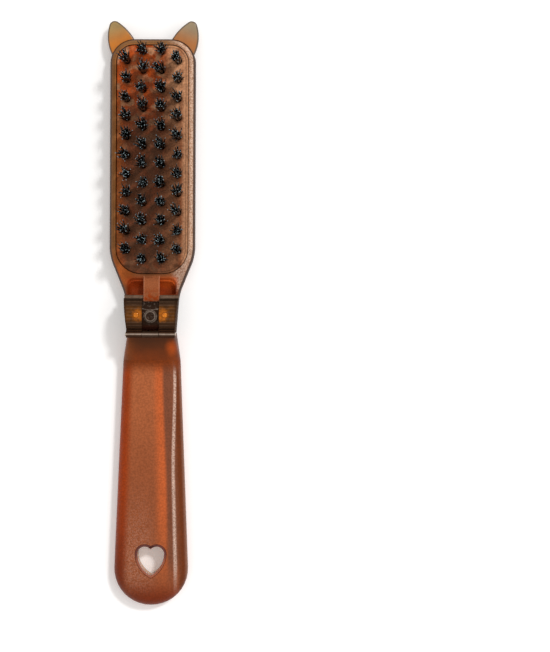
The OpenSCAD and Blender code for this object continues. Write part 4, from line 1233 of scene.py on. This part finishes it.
class HAIRBRUSH_OT_wedge(PieceOperator):
    """Build the handle's thick top with its knuckle, and the latch tongue"""

    bl_idname = "hairbrush.wedge"
    bl_label = "Wedge and tongue"

    def execute(self, context):
        s = self.sizes
        right = [(WEDGE_TOP_HALF, BACK_HIGH.y + RUN_PAST, 0), (WEDGE_HALF, WEDGE_Y, 0), (9.6, WEDGE_Y - 6, 0)]
        bm = slab(both_sides(right), WIDEST_Z, 0, RIM_Z, s.front_roll / MM)
        cut_off(bm, (0, BACK_HIGH.y, 0), (0, 1, 0))
        cut_off(bm, (0, WEDGE_Y, 0), (0, -1, 0))
        ridge = INSERT_HIGH.z - RIDGE_DROP
        for k in (0, RIDGE_STEP):
            step = block((k - RIDGE_HALF, PIN.y - KNUCKLE_R + k, ridge - 2 * RIDGE_STEP + k),
                         (RIDGE_HALF - k, BACK_HIGH.y, ridge - RIDGE_STEP + k))
            bm = gather([bm, step])
        bm = wrap(bm)
        foot = block((-INSERT_FOOT_HALF, WEDGE_Y, 1.6), (INSERT_FOOT_HALF, BACK_HIGH.y, WIDEST_Z + 0.1))
        bm = combine(bm, foot, "UNION")
        half = KNUCKLE_HALF
        barrel = rod(KNUCKLE_R, (-half, PIN.y, PIN.z), (half, PIN.y, PIN.z))
        stem = block((-half, PIN.y - KNUCKLE_R, ridge - 1), (half, BACK_HIGH.y, PIN.z))
        bm = combine(bm, combine(barrel, stem, "UNION"), "UNION")
        bm = carve(bm, rod(PIN_R, (-5, PIN.y, PIN.z), (5, PIN.y, PIN.z)),
                   block((-ROOT_HALF, ROOT_LOW_Y, 0), (ROOT_HALF, ROOT_HIGH_Y, ROOT_TOP)))
        piece(bm, "handle_top", "handle", insert_plastic(self.colours), ["hinge_insert"],
              s.soft_edge)
        gold = clear_gold("tongue_gold", self.colours.tongue, TONGUE_DEEP)
        piece(cad_copy("latch_tongue"), "golden_tongue", "handle", gold, ["latch_tongue"],
              s.soft_edge)
        return {"FINISHED"}


class HAIRBRUSH_OT_handle(PieceOperator):
    """Build the handle's two hollow shells"""

    bl_idname = "hairbrush.handle"
    bl_label = "Handle shells"

    def execute(self, context):
        s = self.sizes
        wall, front, back = s.wall / MM, s.front_roll / MM, s.back_roll / MM
        bm = slab(handle_corners(), WIDEST_Z, 0, RIM_Z, front)
        cut_off(bm, (0, WEDGE_Y, 0), (0, 1, 0))
        inner = handle_corners(wall, WEDGE_Y - wall)
        hollow = slab(inner, WIDEST_Z - 1, 0, RIM_Z - wall, front / 2, WIDEST_Z)
        bm = carve(bm, hollow, heart(LINER + LINER_GAP, BELOW, ABOVE))
        piece(bm, "handle_front_shell", "handle", handle_front_plastic(self.colours),
              ["handle_front"], s.soft_edge)
        bm = slab(handle_corners(), 0, back, WIDEST_Z, 0)
        cut_off(bm, (0, BACK_HIGH.y, 0), (0, 1, 0))
        hollow = slab(handle_corners(wall, WEDGE_Y), wall, back, WIDEST_Z + 1, 0)
        foot_half = INSERT_FOOT_HALF + 0.05
        foot = block((-foot_half, WEDGE_Y - 0.5, wall), (foot_half, 0, ABOVE))
        bm = carve(bm, hollow, foot, heart(LINER + LINER_GAP, BELOW, ABOVE))
        piece(bm, "handle_back_shell", "handle", handle_back_plastic(self.colours),
              ["handle_back"], s.soft_edge)
        return {"FINISHED"}


class HAIRBRUSH_OT_liner(PieceOperator):
    """Build the heart-shaped liner of the hang hole, with rounded lips"""

    bl_idname = "hairbrush.liner"
    bl_label = "Heart liner"

    def execute(self, context):
        bm = carve(heart(LINER, HEART_LOW.z, HEART_HIGH.z), heart(0, BELOW, ABOVE))
        piece(bm, "heart_liner", "handle", liner_plastic(self.colours), ["heart_grommet"],
              0.3 * MM, 40, 4)
        return {"FINISHED"}


class HAIRBRUSH_OT_inside(PieceOperator):
    """Give the steel parts inside their finish, and give the coil a mesh of its own"""

    bl_idname = "hairbrush.inside"
    bl_label = "Steel parts"

    def execute(self, context):
        drawn = steel("drawn_steel", self.colours.steel, 0.32, (1, 1, 0.15))
        coil = piece(cad_copy("button_spring"), "coil_spring", "head", drawn,
                     ["button_spring"])
        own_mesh(coil)
        for node in ("tuft_anchors", "release_plunger"):
            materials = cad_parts[node].data.materials
            if len(materials):
                materials[0] = drawn
            else:
                materials.append(drawn)
        return {"FINISHED"}


class HAIRBRUSH_OT_stage(bpy.types.Operator):
    """Set up the table, the light and the camera"""

    bl_idname = "hairbrush.stage"
    bl_label = "Table, light and camera"

    def execute(self, context):
        stage = context.scene.hairbrush_stage
        bm = bmesh.new()
        bmesh.ops.create_grid(bm, x_segments=1, y_segments=1, size=4,
                              matrix=Matrix.Translation((0, 0, -0.05 * MM)))
        mesh = mesh_of(bm, "table")
        table = set_out("table", mesh)
        f = Finish("table_white", 0.9, Specular_IOR_Level=0.0)
        f.shader.inputs["Base Color"].default_value = (*stage.table, 1)
        f.shader.inputs["Emission Color"].default_value = (1, 1, 1, 1)
        path = f.add("ShaderNodeLightPath", {})
        lift = f.math("MULTIPLY", path.outputs["Is Camera Ray"], stage.table_lift)
        f.feed("Emission Strength", lift)
        mesh.materials.append(f.material)

        lamp = bpy.data.lights.new("sun", "SUN")
        lamp.energy, lamp.angle = stage.sun_power, stage.sun_size
        sun = set_out("sun", lamp)
        level = math.cos(stage.sun_height)
        towards = Vector((level * math.cos(stage.sun_turn), level * math.sin(stage.sun_turn),
                          math.sin(stage.sun_height)))
        self.aim(sun, towards)

        long = bpy.data.lights.new("strip", "AREA")
        long.shape, long.size, long.size_y, long.energy = "RECTANGLE", 1.0, 0.07, stage.strip_power
        strip = set_out("strip", long)
        strip.location = (0.54, -0.02, 0.6)
        self.aim(strip, Vector((0.54, 0, 0.6)))
        strip.visible_camera = False

        self.sky(context, stage)

        camera = bpy.data.cameras.new("camera")
        camera.sensor_width, camera.clip_start, camera.clip_end = 36, 0.01, 20
        camera.lens = 18 / math.tan(stage.view_angle / 2)
        eye = set_out("camera", camera)
        eye.location = (stage.camera_x, stage.camera_y, stage.camera_height)
        eye.rotation_euler = (0, 0, stage.camera_turn)
        context.scene.camera = eye
        context.scene.view_settings.view_transform = "Standard"
        return {"FINISHED"}

    def aim(self, lamp, towards):
        """Turns a lamp's back towards a direction, so that it shines the other way."""
        lamp.rotation_mode = "QUATERNION"
        lamp.rotation_quaternion = towards.to_track_quat("Z", "Y")

    def sky(self, context, stage):
        """Even light on the brush, and plain white where the camera or a gloss sees past the table."""
        world = bpy.data.worlds.new("studio")
        context.scene.world = world
        world.use_nodes = True
        nodes, link = world.node_tree.nodes, world.node_tree.links.new
        nodes.clear()
        path = nodes.new("ShaderNodeLightPath")
        seen = path.outputs["Is Camera Ray"]
        for ray in ("Is Glossy Ray", "Is Transmission Ray"):
            total = nodes.new("ShaderNodeMath")
            total.operation, total.use_clamp = "ADD", True
            link(seen, total.inputs[0])
            link(path.outputs[ray], total.inputs[1])
            seen = total.outputs[0]
        choice = nodes.new("ShaderNodeMixShader")
        link(seen, choice.inputs[0])
        for socket, colour, strength in ((1, (1, 0.972, 0.945, 1), stage.sky_power), (2, (1, 1, 1, 1), 1)):
            light = nodes.new("ShaderNodeBackground")
            light.inputs["Color"].default_value = colour
            light.inputs["Strength"].default_value = strength
            link(light.outputs[0], choice.inputs[socket])
        out = nodes.new("ShaderNodeOutputWorld")
        link(choice.outputs[0], out.inputs[0])


PIECES = (HAIRBRUSH_OT_head, HAIRBRUSH_OT_plate, HAIRBRUSH_OT_ears, HAIRBRUSH_OT_bristles,
          HAIRBRUSH_OT_cheeks, HAIRBRUSH_OT_lock, HAIRBRUSH_OT_pin, HAIRBRUSH_OT_wedge,
          HAIRBRUSH_OT_handle, HAIRBRUSH_OT_liner, HAIRBRUSH_OT_inside, HAIRBRUSH_OT_stage)


class HAIRBRUSH_PT_panel(bpy.types.Panel):
    """The brush's operators, in building order"""

    bl_idname = "HAIRBRUSH_PT_panel"
    bl_label = "Folding hairbrush"
    bl_space_type = "VIEW_3D"
    bl_region_type = "UI"
    bl_category = "Hairbrush"

    def draw(self, context):
        for operator in PIECES:
            self.layout.operator(operator.bl_idname)


CLASSES = (HairbrushSizes, HairbrushColours, HairbrushStage, *PIECES, HAIRBRUSH_PT_panel)


def register():
    for cls in CLASSES:
        bpy.utils.register_class(cls)
    bpy.types.Scene.hairbrush_sizes = PointerProperty(type=HairbrushSizes)
    bpy.types.Scene.hairbrush_colours = PointerProperty(type=HairbrushColours)
    bpy.types.Scene.hairbrush_stage = PointerProperty(type=HairbrushStage)


def unregister():
    del bpy.types.Scene.hairbrush_sizes
    del bpy.types.Scene.hairbrush_colours
    del bpy.types.Scene.hairbrush_stage
    for cls in reversed(CLASSES):
        bpy.utils.unregister_class(cls)


def main():
    register()
    for operator in PIECES:
        group, name = operator.bl_idname.split(".")
        getattr(getattr(bpy.ops, group), name)()


if __name__ == "__main__":
    main()
